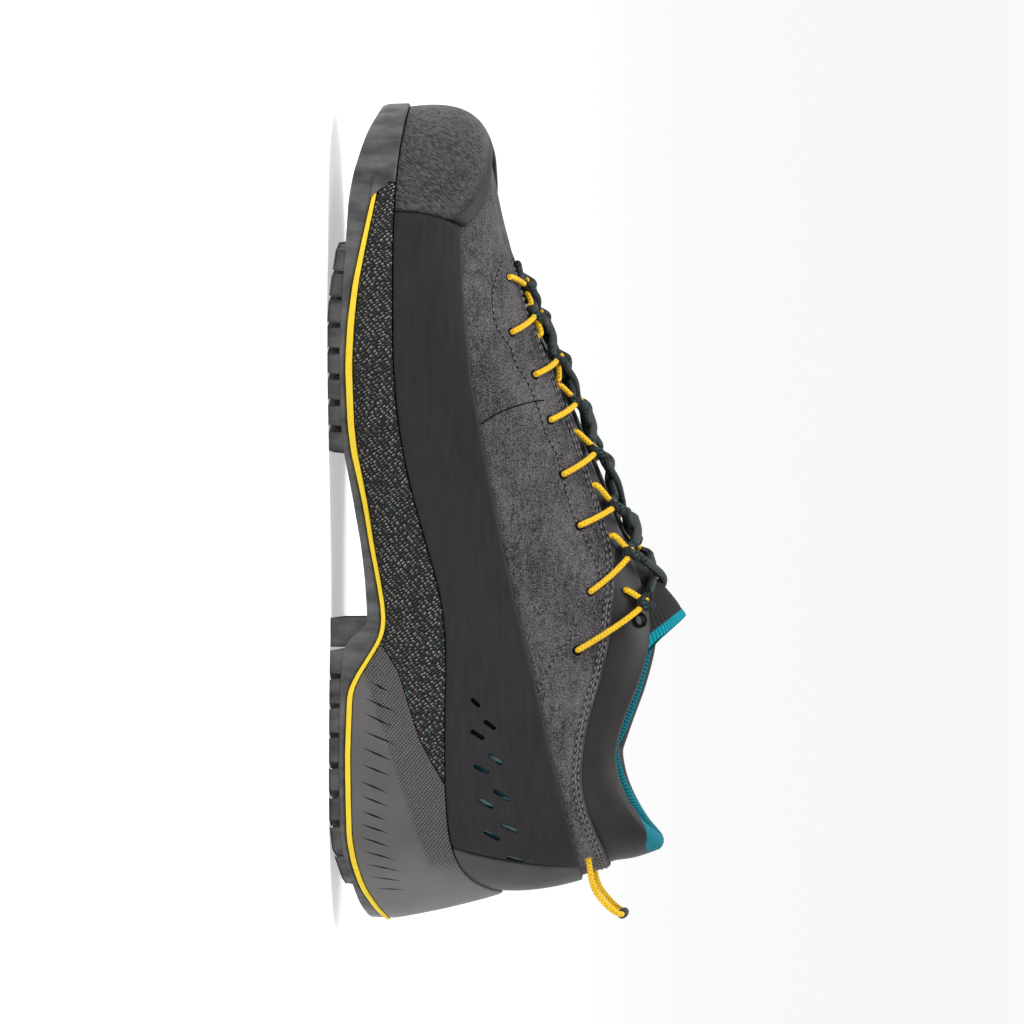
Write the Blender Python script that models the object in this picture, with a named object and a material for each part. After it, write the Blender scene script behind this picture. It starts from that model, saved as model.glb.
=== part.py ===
"""Approach shoe for the right foot, standing empty on its sole.

The toe points to -Y, the heel to +Y and the inner (medial) side to +X. The origin is on the floor, under the
middle of the shoe. Lengths in the tables are millimetres. A point of the shoe is (s, w, z): s runs forward
from the back of the heel, w runs from the middle line to the medial side, and z is the height.

The upper is one wall, drawn by girth lines. Each girth line climbs from the rim of the midsole to the edge of
the opening, and the overlays (suede, rubber rand, toe cap) are cut from the same wall further out.
"""

import math
from collections import namedtuple

import bmesh
import bpy
import numpy as np

MM = 0.001
LENGTH = 292.0
MIDDLE = LENGTH / 2

# One row for each girth line, from the back of the heel to the tip of the toe.
# low_: the outline at the yellow stripe. rim_: the outline at the top of the midsole. top_: the edge of the
# opening. _med and _lat are distances from the middle line on the two sides.
Girth = namedtuple(
    "Girth",
    "low_s low_med low_lat rim_s rim_med rim_lat rim_z top_s top_med top_lat top_z",
)
GIRTHS = [
    Girth(0.5, 3.0, 3.0, 9.5, 1.5, 1.5, 59.5, 25.0, 0.0, 0.0, 114.5),
    Girth(5.0, 21.5, -13.5, 14.0, 19.5, -16.5, 49.5, 26.5, 9.8, -10.5, 114.0),
    Girth(15.0, 32.5, -23.0, 24.0, 28.5, -25.0, 43.3, 32.0, 18.6, -19.6, 110.0),
    Girth(35.0, 42.0, -32.8, 40.0, 34.8, -31.8, 41.0, 45.0, 25.8, -27.0, 102.6),
    Girth(60.0, 44.0, -38.0, 62.0, 38.2, -36.4, 40.5, 62.0, 29.2, -31.2, 100.3),
    Girth(86.0, 41.2, -40.6, 88.0, 39.2, -38.8, 40.9, 83.0, 30.3, -33.0, 107.0),
    Girth(112.0, 35.5, -42.6, 112.0, 38.8, -41.0, 39.6, 104.0, 27.3, -30.3, 112.8),
    Girth(138.0, 36.5, -45.2, 138.0, 39.8, -43.6, 33.0, 126.0, 21.0, -27.2, 108.0),
    Girth(166.0, 43.2, -49.6, 166.0, 44.0, -48.0, 26.3, 151.0, 16.2, -24.2, 97.5),
    Girth(196.0, 51.6, -52.6, 196.0, 50.4, -51.4, 23.2, 176.0, 13.8, -21.6, 87.0),
    Girth(226.0, 52.3, -49.8, 226.0, 51.4, -48.8, 22.9, 199.0, 12.0, -16.5, 77.0),
    Girth(252.0, 48.9, -40.0, 252.0, 48.2, -39.2, 23.2, 214.5, 9.4, -11.4, 69.8),
    Girth(272.0, 42.9, -28.2, 272.0, 42.4, -27.6, 24.6, 224.0, 6.0, -6.6, 65.6),
    Girth(286.5, 29.5, -7.2, 286.2, 29.2, -7.2, 26.4, 228.4, 3.4, -2.4, 63.6),
    Girth(292.0, 12.0, 12.0, 291.6, 12.0, 12.0, 27.0, 229.6, 0.6, 0.6, 63.0),
]
ROWS = len(GIRTHS) - 1
LOOP = 2 * ROWS

# How each girth line curves: it leaves the rim outward by bulge and up by rise, and meets the opening from
# brow further out and drop lower.
Curve = namedtuple("Curve", "bulge_med bulge_lat rise brow_med brow_lat drop")
CURVES = [
    Curve(1.0, 1.0, 22.0, 2.6, 2.6, 17.0),
    Curve(3.0, 2.6, 26.0, 3.6, 3.6, 20.0),
    Curve(3.6, 3.2, 26.0, 5.4, 5.2, 20.0),
    Curve(4.0, 3.6, 24.0, 8.0, 7.0, 17.0),
    Curve(4.0, 3.6, 22.0, 10.0, 8.4, 14.0),
    Curve(4.4, 3.4, 24.0, 13.0, 10.0, 14.0),
    Curve(5.0, 3.4, 26.0, 17.0, 13.0, 16.0),
    Curve(6.0, 2.4, 28.0, 21.0, 17.0, 10.0),
    Curve(6.4, 0.6, 27.0, 22.0, 20.0, 5.0),
    Curve(4.2, -1.2, 24.0, 22.0, 21.0, 3.0),
    Curve(2.0, -1.0, 22.0, 24.5, 24.0, 5.0),
    Curve(2.0, 1.0, 26.0, 28.0, 28.0, 7.5),
    Curve(3.0, 2.4, 31.0, 33.0, 33.0, 10.5),
    Curve(4.4, 4.2, 36.0, 36.0, 36.0, 13.5),
    Curve(5.0, 5.0, 37.0, 37.0, 37.0, 15.0),
]

# Heights of the sole along its length: the ground it stands on, the web between the lugs, and the lower and
# upper face of the yellow stripe.
Height = namedtuple("Height", "s ground web low high")
HEIGHTS = [
    Height(0.0, 11.0, 12.5, 18.6, 20.6),
    Height(4.0, 8.2, 10.0, 15.2, 17.3),
    Height(12.5, 5.0, 7.4, 10.2, 12.4),
    Height(21.5, 2.0, 5.0, 7.5, 9.7),
    Height(30.0, 0.0, 3.7, 6.2, 8.4),
    Height(60.0, 0.0, 3.5, 5.8, 8.0),
    Height(82.0, 0.0, 3.7, 6.5, 8.7),
    Height(88.0, 0.0, 4.0, 9.2, 11.3),
    Height(95.0, 0.0, 4.2, 13.6, 15.6),
    Height(101.0, 0.0, 6.0, 17.2, 19.1),
    Height(106.5, 0.0, 13.2, 18.3, 20.2),
    Height(113.0, 0.0, 12.8, 17.8, 19.7),
    Height(123.5, 0.0, 12.0, 16.0, 17.9),
    Height(134.0, 0.0, 10.8, 14.0, 16.0),
    Height(148.6, 0.0, 8.4, 11.8, 13.9),
    Height(159.3, 0.0, 6.6, 9.6, 12.0),
    Height(166.5, 0.0, 5.2, 8.0, 10.6),
    Height(177.0, 0.0, 4.4, 6.9, 9.6),
    Height(198.0, 0.0, 4.1, 6.4, 9.2),
    Height(213.0, 0.2, 4.6, 7.3, 10.0),
    Height(227.0, 1.5, 5.4, 9.1, 11.5),
    Height(242.0, 3.8, 6.4, 12.2, 14.3),
    Height(257.0, 6.4, 7.2, 15.4, 17.3),
    Height(267.0, 8.6, 8.8, 17.4, 19.2),
    Height(281.0, 12.5, 12.6, 19.4, 21.2),
    Height(292.0, 17.4, 17.5, 21.0, 22.8),
]

# The footbed, inside the cup of the midsole.
Bed = namedtuple("Bed", "s floor")
BEDS = [
    Bed(0.0, 28.0),
    Bed(60.0, 27.0),
    Bed(88.0, 27.4),
    Bed(110.0, 26.0),
    Bed(140.0, 21.6),
    Bed(170.0, 17.6),
    Bed(200.0, 16.0),
    Bed(225.0, 17.0),
    Bed(245.0, 19.6),
    Bed(262.0, 22.2),
    Bed(292.0, 25.6),
]

# Where the grey heel wedge meets the dark midsole, seen from the side.
Split = namedtuple("Split", "s z")
SPLITS = [
    Split(98.5, 18.6),
    Split(89.5, 24.3),
    Split(77.0, 28.2),
    Split(66.0, 31.6),
    Split(59.0, 35.1),
    Split(47.6, 41.4),
]

# Top edge of the rubber rand, by height, and the strip of smooth material above the suede, measured down the
# girth line from the opening.
Band = namedtuple("Band", "row rand_z strip")
BANDS = [
    Band(0, 87.2, 17.5),
    Band(1, 87.0, 17.5),
    Band(2, 86.0, 15.5),
    Band(3, 83.0, 13.0),
    Band(4, 78.0, 11.5),
    Band(5, 72.4, 12.5),
    Band(6, 66.4, 16.0),
    Band(7, 60.8, 13.5),
    Band(8, 55.4, 12.5),
    Band(9, 50.0, 12.5),
    Band(10, 46.8, 13.0),
    Band(11, 45.6, 12.0),
    Band(12, 45.2, 9.0),
    Band(13, 45.0, 8.0),
    Band(14, 45.0, 7.5),
]

# Ends of the toe cap and of the grey heel piece round the shoe.
CAP_ENDS = (11.05, 17.45)
HEEL_ENDS = (2.15, 25.85)

# Upper edge of the toe cap, as a share of the girth line.
CapEdge = namedtuple("CapEdge", "rho v")
CAP_EDGES = [
    CapEdge(11.05, 0.35), CapEdge(11.3, 0.41), CapEdge(11.6, 0.46), CapEdge(12.0, 0.50), CapEdge(12.5, 0.515),
    CapEdge(13.0, 0.505), CapEdge(13.6, 0.49), CapEdge(14.4, 0.49), CapEdge(15.2, 0.51), CapEdge(15.7, 0.53),
    CapEdge(16.2, 0.52), CapEdge(16.8, 0.48), CapEdge(17.2, 0.44), CapEdge(17.45, 0.39),
]

# Mesh lines of the wall up to the rubber's edge and up to the suede's edge.
RUBBER = 3
SUEDE_TOP = 6

# Samples between neighbouring rows, denser where the heel and the toe turn.
STEPS = [3, 2, 2, 2, 1, 1, 2, 1, 2, 2, 2, 2, 2, 2]

# Rows just before and behind the end of the rubber that climbs over the toe.
TOE_STEP = (11.38, 11.46, 11.54)

GAP = 0.3
LAYER_GAP = 0.5
RIM_GAP = 0.5
UPPER_INSET = 4.2
WALL = 2.2
COLLAR_PAD = 4.4
COLLAR_CROWN = 1.4
SUEDE = 1.2
RAND = 1.3
CAP = 1.7
RIM_LEDGE = 8.6
BED_INSET = 11.5
BUMPER = 3.0
EDGE_STEP = 0.35
SEAT = 3.6
CORE = 6.0
INSOLE = 4.0

LACE_RADIUS = 1.5
LACE_OVER_TONGUE = 3.4
LOOP_RADIUS = 0.9
SLEEVE_RADIUS = 1.5


# Curves and heights

def column(table, name):
    return np.array([getattr(row, name) for row in table], float)


def height(name, s):
    return np.interp(s, column(HEIGHTS, "s"), column(HEIGHTS, name))


def round_trip(med, lat):
    """Values of the medial side from heel to toe, then of the lateral side back to the heel."""
    return np.concatenate([med, lat[-2:0:-1]])


def periodic_spline(knots, period, values):
    """A smooth closed curve through values, as a function of the place on it."""
    count = len(knots)
    gaps = np.diff(np.append(knots, knots[0] + period))
    system = np.zeros((count, count))
    slopes = np.zeros_like(values)
    for i in range(count):
        before, after = gaps[i - 1], gaps[i]
        following = (i + 1) % count
        system[i, i - 1] += before
        system[i, i] += 2 * (before + after)
        system[i, following] += after
        slopes[i] = (values[following] - values[i]) / after - (values[i] - values[i - 1]) / before
    bends = np.linalg.solve(system, 6 * slopes)

    def at(place):
        place = np.mod(place, period)
        i = np.clip(np.searchsorted(knots, place, side="right") - 1, 0, count - 1)
        j = (i + 1) % count
        gap = gaps[i][..., None]
        a = (place - knots[i])[..., None]
        b = gap - a
        cubic = (bends[i] * b**3 + bends[j] * a**3) / (6 * gap)
        line = (values[i] / gap - bends[i] * gap / 6) * b + (values[j] / gap - bends[j] * gap / 6) * a
        return cubic + line

    return at


def closed_columns():
    """Every column of GIRTHS and CURVES as one closed curve round the shoe."""
    both = [
        ("low_s", "low_s"), ("low_med", "low_lat"), ("rim_s", "rim_s"), ("rim_med", "rim_lat"),
        ("rim_z", "rim_z"), ("top_s", "top_s"), ("top_med", "top_lat"), ("top_z", "top_z"),
    ]
    curves = [
        ("bulge_med", "bulge_lat"), ("rise", "rise"), ("brow_med", "brow_lat"), ("drop", "drop"),
    ]
    columns = [round_trip(column(GIRTHS, a), column(GIRTHS, b)) for a, b in both]
    columns += [round_trip(column(CURVES, a), column(CURVES, b)) for a, b in curves]
    return np.stack(columns, axis=1)


COLUMNS = closed_columns()
RIM_POINTS = COLUMNS[:, 2:4]
CHORDS = np.linalg.norm(np.roll(RIM_POINTS, -1, axis=0) - RIM_POINTS, axis=1)
KNOTS = np.concatenate([[0.0], np.cumsum(CHORDS)])
ROUND = periodic_spline(KNOTS[:-1], KNOTS[-1], COLUMNS)


def girth(rho):
    """All columns at girth rho, where 0 is the back of the heel and ROWS is the tip of the toe."""
    rho = np.asarray(rho, float)
    return ROUND(np.interp(np.mod(rho, LOOP), np.arange(LOOP + 1), KNOTS))


def outward(rho, first):
    """Plan direction pointing out of the outline whose columns start at first."""
    step = 0.02
    ahead = girth(np.asarray(rho) + step)[..., first : first + 2]
    behind = girth(np.asarray(rho) - step)[..., first : first + 2]
    along = ahead - behind
    out = np.stack([-along[..., 1], along[..., 0]], axis=-1)
    return out / np.linalg.norm(out, axis=-1, keepdims=True)


def outline(rho, first, inset):
    """Points (s, w) of the low (first = 0) or rim (first = 2) outline, moved in by inset."""
    inset = np.broadcast_to(np.asarray(inset, float), np.shape(rho))
    return girth(rho)[..., first : first + 2] - outward(rho, first) * inset[..., None]


def side_row(rho):
    """The table row at girth rho, from either side."""
    rho = np.mod(rho, LOOP)
    return np.minimum(rho, LOOP - rho)


# The wall of the upper

def wall(rho, v):
    """A point of the upper's outer face: v is 0 at the rim and 1 at the opening."""
    rho, v = np.broadcast_arrays(np.asarray(rho, float), np.asarray(v, float))
    at = girth(rho)
    foot = np.concatenate([outline(rho, 2, UPPER_INSET), at[..., 4:5] + RIM_GAP], axis=-1)
    top = at[..., 5:8]
    fan = foot[..., :2] - top[..., :2]
    fan = fan / np.linalg.norm(fan, axis=-1, keepdims=True)
    lower = foot.copy()
    lower[..., :2] += outward(rho, 2) * at[..., 8:9]
    lower[..., 2] += at[..., 9]
    upper = top.copy()
    upper[..., :2] += fan * at[..., 10:11]
    upper[..., 2] -= at[..., 11]
    v = v[..., None]
    return (1 - v) ** 3 * foot + 3 * (1 - v) ** 2 * v * lower + 3 * (1 - v) * v**2 * upper + v**3 * top


def wall_normal(rho, v):
    """Out of the wall, level at the rim so that an overlay's foot stays on it."""
    step = 0.01
    v = np.clip(v, 0.0, 1.0)
    up = wall(rho, np.minimum(v + step, 1)) - wall(rho, np.maximum(v - step, 0))
    along = wall(rho + step, v) - wall(rho - step, v)
    normal = np.cross(up, along)
    normal[..., 2] *= np.clip(v / 0.12, 0, 1)
    return normal / np.linalg.norm(normal, axis=-1, keepdims=True)


def shifted(rho, v, distance):
    """The wall moved out by distance."""
    rho, v, distance = np.broadcast_arrays(
        np.asarray(rho, float), np.asarray(v, float), np.asarray(distance, float)
    )
    return wall(rho, v) + wall_normal(rho, v) * distance[..., None]


FINE_V = np.linspace(0, 1, 101)


def v_at_height(rho, z):
    """Where the girth line first reaches height z."""
    rho = np.atleast_1d(rho)
    z = np.broadcast_to(z, rho.shape)
    found = []
    for one, target in zip(rho, z):
        line = np.maximum.accumulate(wall(np.full(FINE_V.shape, one), FINE_V)[:, 2])
        found.append(np.interp(target, line, FINE_V))
    return np.array(found)


def v_below_top(rho, distance):
    """Where the girth line is this far, along itself, from the opening."""
    rho = np.atleast_1d(rho)
    distance = np.broadcast_to(distance, rho.shape)
    found = []
    for one, target in zip(rho, distance):
        line = wall(np.full(FINE_V.shape, one), FINE_V)
        run = np.append(0, np.cumsum(np.linalg.norm(np.diff(line, axis=0), axis=1)))
        found.append(np.interp(run[-1] - target, run, FINE_V))
    return np.array(found)


def band(name, rho):
    return np.interp(side_row(rho), column(BANDS, "row"), column(BANDS, name))


def in_cap(rho):
    rho = np.mod(rho, LOOP)
    return (rho > CAP_ENDS[0] - 0.02) & (rho < CAP_ENDS[1] + 0.02)


def rubber_top(rho):
    """Upper edge of the rubber: of the rand, and of the toe cap in front."""
    cap = np.interp(np.mod(rho, LOOP), column(CAP_EDGES, "rho"), column(CAP_EDGES, "v"))
    return np.where(in_cap(rho), cap, v_at_height(rho, band("rand_z", rho)))


def suede_top(rho):
    return v_below_top(rho, band("strip", rho))


def levels(rho):
    """v of every line of the mesh, rim to opening: RUBBER steps to the rubber's edge, then to SUEDE_TOP."""
    edge, top = rubber_top(rho), suede_top(rho)
    marks = [edge * k / RUBBER for k in range(RUBBER + 1)]
    count = SUEDE_TOP - RUBBER
    marks += [edge + (top - edge) * k / count for k in range(1, count + 1)]
    marks += [top + (1 - top) * share for share in (0.5, 1.0)]
    return np.stack(marks)


def ankle(rho):
    """1 round the padded collar, fading out along the throat."""
    return np.clip((6.6 - side_row(rho)) / 1.6, 0, 1)


def place(side, s, down):
    """(rho, v) of the wall's point at s that is down along its girth line from the opening."""
    near, far = 0.0, float(ROWS)
    for _ in range(22):
        row = (near + far) / 2
        rho = row if side > 0 else LOOP - row
        v = v_below_top(rho, down)[0]
        if wall(rho, v)[0] < s:
            near = row
        else:
            far = row
    return rho, v


def above(side, s, down, lift):
    """The point lift above the wall there."""
    return shifted(*place(side, s, down), lift)


# Samples round the shoe

def side_samples():
    """Fractional rows from heel to toe."""
    samples = [0.0]
    for row, steps in enumerate(STEPS):
        samples += [row + (k + 1) / steps for k in range(steps)]
    samples.remove(11.5)
    return np.array(sorted(samples + list(TOE_STEP)))


SIDE = side_samples()
RHO = np.concatenate([SIDE, LOOP - SIDE[-2:0:-1]])
HALF = len(SIDE) - 1


# Meshes

def to_row(point):
    """From (s, w, z) in millimetres to the row frame in metres."""
    s, w, z = point
    return (w * MM, (MIDDLE - s) * MM, z * MM)


def collection(name):
    made = bpy.data.collections.new(name)
    bpy.context.scene.collection.children.link(made)
    return made


def clear_scene():
    for obj in list(bpy.data.objects):
        bpy.data.objects.remove(obj)


clear_scene()
SHOE = collection("approach_shoe")
CUTTERS = collection("cutters")


def material(name, colour, roughness, metallic=0.0):
    made = bpy.data.materials.get(name)
    if made:
        return made
    made = bpy.data.materials.new(name)
    made.use_nodes = True
    shader = made.node_tree.nodes["Principled BSDF"]
    shader.inputs["Base Color"].default_value = (*colour, 1.0)
    shader.inputs["Roughness"].default_value = roughness
    shader.inputs["Metallic"].default_value = metallic
    return made


def suede_material():
    return material("grey_suede", (0.105, 0.105, 0.108), 0.9)


def rand_material():
    return material("black_rubber", (0.028, 0.027, 0.028), 0.55)


def cap_material():
    return material("grey_toe_rubber", (0.075, 0.075, 0.073), 0.6)


def sole_material():
    return material("sole_rubber", (0.045, 0.046, 0.047), 0.6)


def stripe_material():
    return material("yellow_stripe", (0.80, 0.56, 0.02), 0.5)


def midsole_material():
    return material("dark_foam", (0.03, 0.031, 0.031), 0.75)


def wedge_material():
    return material("grey_foam", (0.13, 0.13, 0.132), 0.6)


def collar_material():
    return material("black_microfibre", (0.03, 0.029, 0.029), 0.5)


def tongue_material():
    return material("tongue_textile", (0.03, 0.03, 0.032), 0.85)


def insole_material():
    return material("insole_textile", (0.04, 0.038, 0.036), 0.9)


def lace_material():
    return material("black_lace", (0.015, 0.017, 0.018), 0.8)


def cord_material():
    return material("yellow_cord", (0.86, 0.50, 0.035), 0.6)


def finish_mesh(bm, name, look, target=None, smooth_angle=35.0):
    """Turns a bmesh into an object of the shoe, facing out and shaded smooth."""
    bmesh.ops.remove_doubles(bm, verts=bm.verts, dist=1e-6)
    if bm.calc_volume(signed=True) < 0:
        bmesh.ops.reverse_faces(bm, faces=bm.faces)
    mesh = bpy.data.meshes.new(name)
    bm.to_mesh(mesh)
    bm.free()
    mesh.shade_smooth()
    mesh.set_sharp_from_angle(angle=math.radians(smooth_angle))
    obj = bpy.data.objects.new(name, mesh)
    (target or SHOE).objects.link(obj)
    if look:
        mesh.materials.append(look)
    if target is CUTTERS:
        obj.hide_render = True
        obj.display_type = "WIRE"
    return obj


def patch(bm, a, b, c, d):
    """A four-sided patch, always split from a to c, so that nested faces keep their gap."""
    for corners in ((a, b, c), (a, c, d)):
        if len(set(corners)) == 3:
            bm.faces.new(corners)


def grid_of(bm, lines):
    return [[bm.verts.new(to_row(p)) for p in line] for line in lines]


def rising(bm, lower, upper, closed):
    """Patches between two mesh lines of the wall."""
    count = len(lower)
    for i in range(count if closed else count - 1):
        j = (i + 1) % count
        patch(bm, lower[i], upper[i], upper[j], lower[j])


def shell(inner, outer, closed=False):
    """A solid between two grids of points, [up][round], joined round its edges."""
    bm = bmesh.new()
    near, far = grid_of(bm, inner), grid_of(bm, outer)
    for grid in (near, far):
        for lower, upper in zip(grid, grid[1:]):
            rising(bm, lower, upper, closed)
    for j in (0, -1):
        rising(bm, near[j], far[j], closed)
    if not closed:
        for i in (0, -1):
            for j in range(len(inner) - 1):
                patch(bm, near[j][i], far[j][i], far[j + 1][i], near[j + 1][i])
    bmesh.ops.recalc_face_normals(bm, faces=bm.faces)
    return bm


def closed_tube(name, lines, look):
    """A solid from rings round the shoe, the last one joined to the first."""
    bm = bmesh.new()
    grid = grid_of(bm, lines)
    for lower, upper in zip(grid, grid[1:] + grid[:1]):
        rising(bm, lower, upper, True)
    return finish_mesh(bm, name, look)


def ring_solid(name, rings, look, target=None):
    """A solid from rings round the shoe, lowest first, closed below the first and above the last."""
    bm = bmesh.new()
    grid = grid_of(bm, rings)
    count = len(RHO)
    for lower, upper in zip(grid, grid[1:]):
        rising(bm, lower, upper, True)
    for ring in (grid[0], grid[-1]):
        for i in range(HALF):
            patch(bm, ring[i], ring[i + 1], ring[count - i - 1], ring[(count - i) % count])
    bmesh.ops.recalc_face_normals(bm, faces=bm.faces)
    return finish_mesh(bm, name, look, target)


def smooth_path(points, count):
    """count points, evenly spaced, on a smooth curve through points."""
    points = np.array(points, float)
    ends = np.concatenate([[2 * points[0] - points[1]], points, [2 * points[-1] - points[-2]]])
    dense = []
    for a, b, c, d in zip(ends, ends[1:], ends[2:], ends[3:]):
        for t in np.linspace(0, 1, 24, endpoint=False):
            tangent_b, tangent_c = (c - a) / 2, (d - b) / 2
            dense.append(
                (2 * t**3 - 3 * t**2 + 1) * b
                + (t**3 - 2 * t**2 + t) * tangent_b
                + (3 * t**2 - 2 * t**3) * c
                + (t**3 - t**2) * tangent_c
            )
    dense = np.array(dense + [points[-1]])
    run = np.append(0, np.cumsum(np.linalg.norm(np.diff(dense, axis=0), axis=1)))
    even = np.linspace(0, run[-1], count)
    return np.stack([np.interp(even, run, dense[:, k]) for k in range(3)], axis=1)


def tube(name, path, radius, look, sides=6, target=None):
    """A round cord along a path of (s, w, z) points."""
    curve = bpy.data.curves.new(name, "CURVE")
    curve.dimensions = "3D"
    curve.bevel_depth = radius * MM
    curve.bevel_resolution = sides // 2 - 2
    curve.use_fill_caps = True
    spline = curve.splines.new("POLY")
    spline.points.add(len(path) - 1)
    for point, place in zip(spline.points, path):
        point.co = (*to_row(place), 1.0)
    curve.materials.append(look)
    obj = bpy.data.objects.new(name, curve)
    (target or SHOE).objects.link(obj)
    return obj


def as_mesh(obj, target=None):
    """The curve object as a welded mesh object of the same name."""
    name = obj.name
    graph = bpy.context.evaluated_depsgraph_get()
    mesh = bpy.data.meshes.new_from_object(obj.evaluated_get(graph))
    bm = bmesh.new()
    bm.from_mesh(mesh)
    bpy.data.objects.remove(obj)
    bpy.data.meshes.remove(mesh)
    made = finish_mesh(bm, name, lace_material(), target)
    made.name = name
    return made


def boolean(obj, operation, other):
    modifier = obj.modifiers.new(operation.lower(), "BOOLEAN")
    modifier.operation = operation
    modifier.solver = "EXACT"
    modifier.object = other
    return modifier


# The sole

def climbs(rho):
    """Where the sole's rubber climbs over the toe."""
    return side_row(rho) > TOE_STEP[1] + 0.01


def hidden(rho):
    """Where the stripe and the midsole stand back behind that rubber, one step further."""
    return side_row(rho) > TOE_STEP[0] + 0.01


def hidden_inset(rho):
    return np.where(hidden(rho), BUMPER + LAYER_GAP, 0.0)


def ring(rho, first, inset, z):
    """Points of an outline moved in by inset, at heights z (numbers, or a function of s)."""
    plan = outline(rho, first, inset)
    z = z(plan[:, 0]) if callable(z) else np.broadcast_to(z, plan[:, 0].shape)
    return np.concatenate([plan, z[:, None]], axis=1)


def blended_ring(rho, share, inset, z):
    """Points between the low outline (share 0) and the rim outline (share 1)."""
    share = np.broadcast_to(np.asarray(share, float), np.shape(rho))[:, None]
    plan = outline(rho, 0, inset) * (1 - share) + outline(rho, 2, inset) * share
    z = z(plan[:, 0]) if callable(z) else np.broadcast_to(z, plan[:, 0].shape)
    return np.concatenate([plan, z[:, None]], axis=1)


def rim_height(rho):
    return girth(rho)[:, 4]


def lug(bm, corners, top_grow):
    """A block under the sole. corners are four (s, w) points of its foot, which is at the ground."""
    middle = np.mean(corners, axis=0)
    foot = [bm.verts.new(to_row((s, w, height("ground", s)))) for s, w in corners]
    head = []
    for s, w in corners:
        wide = middle + (np.array([s, w]) - middle) * top_grow
        head.append(bm.verts.new(to_row((*wide, height("web", wide[0]) + 0.8))))
    for face in (foot, head[::-1]):
        bm.faces.new(face)
    for i in range(4):
        j = (i + 1) % 4
        bm.faces.new((foot[i], head[i], head[j], foot[j]))


def side_edge(side, s, inset):
    """w of the low outline at s on one side (1 medial, -1 lateral), moved in by inset."""
    rows = np.linspace(0.2, ROWS - 0.2, 200)
    rho = rows if side > 0 else LOOP - rows
    plan = outline(rho, 0, inset)
    return np.interp(s, plan[:, 0], plan[:, 1])


def lug_blocks():
    """Lugs of the forefoot and the heel, in rows across the sole."""
    bm = bmesh.new()
    rows = [
        # first s, last s, pitch, length, slant, tracks across the inside
        (171.0, 236.0, 9.2, 6.4, 2.6, (-0.36, 0.0, 0.36)),
        (20.0, 94.0, 10.4, 7.2, -2.6, (-0.30, 0.30)),
    ]
    for first, last, pitch, length, slant, tracks in rows:
        for s in np.arange(first, last, pitch):
            for side in (1, -1):
                outer_a = side_edge(side, s - length / 2, 2.6)
                outer_b = side_edge(side, s + length / 2, 2.6)
                inner = side * 9.5
                lug(bm, [
                    (s - length / 2, outer_a), (s + length / 2, outer_b),
                    (s + length / 2 + slant, outer_b - inner), (s - length / 2 + slant, outer_a - inner),
                ], 1.12)
            left, right = side_edge(-1, s, 12.0), side_edge(1, s, 12.0)
            for track in tracks:
                w = (left + right) / 2 + track * (right - left)
                half = length / 2
                lug(bm, [
                    (s - half + slant, w - 4.2), (s - half, w + 4.2),
                    (s + half, w + 4.2), (s + half + slant, w - 4.2),
                ], 1.15)
    breast = (98.6, 108.0)
    for low, high in ((-0.95, -0.36), (-0.22, 0.22), (0.36, 0.95)):
        edge = [side_edge(1, breast[0], 2.6) if w > 0 else -side_edge(-1, breast[0], 2.6) for w in (low, high)]
        a, b = low * edge[0], high * edge[1]
        lug(bm, [(breast[0], a), (breast[0], b), (breast[1], b), (breast[1], a)], 1.04)
    for face in bm.faces:
        face.normal_update()
    bmesh.ops.recalc_face_normals(bm, faces=bm.faces)
    return finish_mesh(bm, "lug_blocks", None, CUTTERS)


def edge_z(rho, name):
    """Height of the stripe's faces at the outline, the same however far a ring is moved in."""
    return height(name, outline(rho, 0, 0.0)[:, 0])


def core(name, lift):
    """The ring where the flat middle of each layer starts."""
    return ring(RHO, 0, CORE, lambda s: height(name, s) + lift)


def seat(z):
    """The ring inside the toe rubber, where every layer is still as high as at its edge."""
    return ring(RHO, 0, SEAT, z)


def make_outsole():
    toe = climbs(RHO)
    low = edge_z(RHO, "low") - LAYER_GAP
    inner = seat(low)
    web = ring(RHO, 0, 1.6, lambda s: height("web", s))
    side = ring(RHO, 0, EDGE_STEP + 0.3, (2 * low + web[:, 2]) / 3)
    shoulder = ring(RHO, 0, np.where(toe, -0.2, EDGE_STEP), low)
    lip, inner_lip, step = inner.copy(), inner.copy(), inner.copy()
    for line in (lip, inner_lip, step):
        line[hidden(RHO)] = ring(RHO, 0, BUMPER, low)[hidden(RHO)]
    lip[toe] = ring(RHO, 2, 0.0, rim_height(RHO))[toe]
    inner_lip[toe] = ring(RHO, 2, BUMPER, rim_height(RHO))[toe]
    rings = [web, side, shoulder, lip, inner_lip, step, inner, core("low", -LAYER_GAP)]
    outsole = ring_solid("outsole", rings, sole_material())
    boolean(outsole, "UNION", lug_blocks())


def make_stripe():
    inset = hidden_inset(RHO)
    low = ring(RHO, 0, inset, edge_z(RHO, "low"))
    high = ring(RHO, 0, inset, edge_z(RHO, "high") - LAYER_GAP)
    rings = [core("low", 0.0), seat(low[:, 2]), low, high, seat(high[:, 2]), core("high", -LAYER_GAP)]
    ring_solid("stripe", rings, stripe_material())


def bed_floor(s):
    return np.interp(s, column(BEDS, "s"), column(BEDS, "floor"))


def cup_rings():
    """The midsole with its heel wedge, as one cup."""
    inset = hidden_inset(RHO)
    open_side = np.where(hidden(RHO), 0.0, 1.0)
    rim_z = rim_height(RHO)
    low = ring(RHO, 0, inset + EDGE_STEP * open_side, edge_z(RHO, "high"))
    belly = blended_ring(RHO, 0.5, inset - 0.7 * open_side, (low[:, 2] + rim_z) / 2)
    rings = [core("high", 0.0), seat(low[:, 2]), low, belly]
    rings += [ring(RHO, 2, step, rim_z) for step in (inset, UPPER_INSET - 0.1, RIM_LEDGE)]
    rings.append(ring(RHO, 2, BED_INSET, bed_floor))
    return rings


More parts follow.
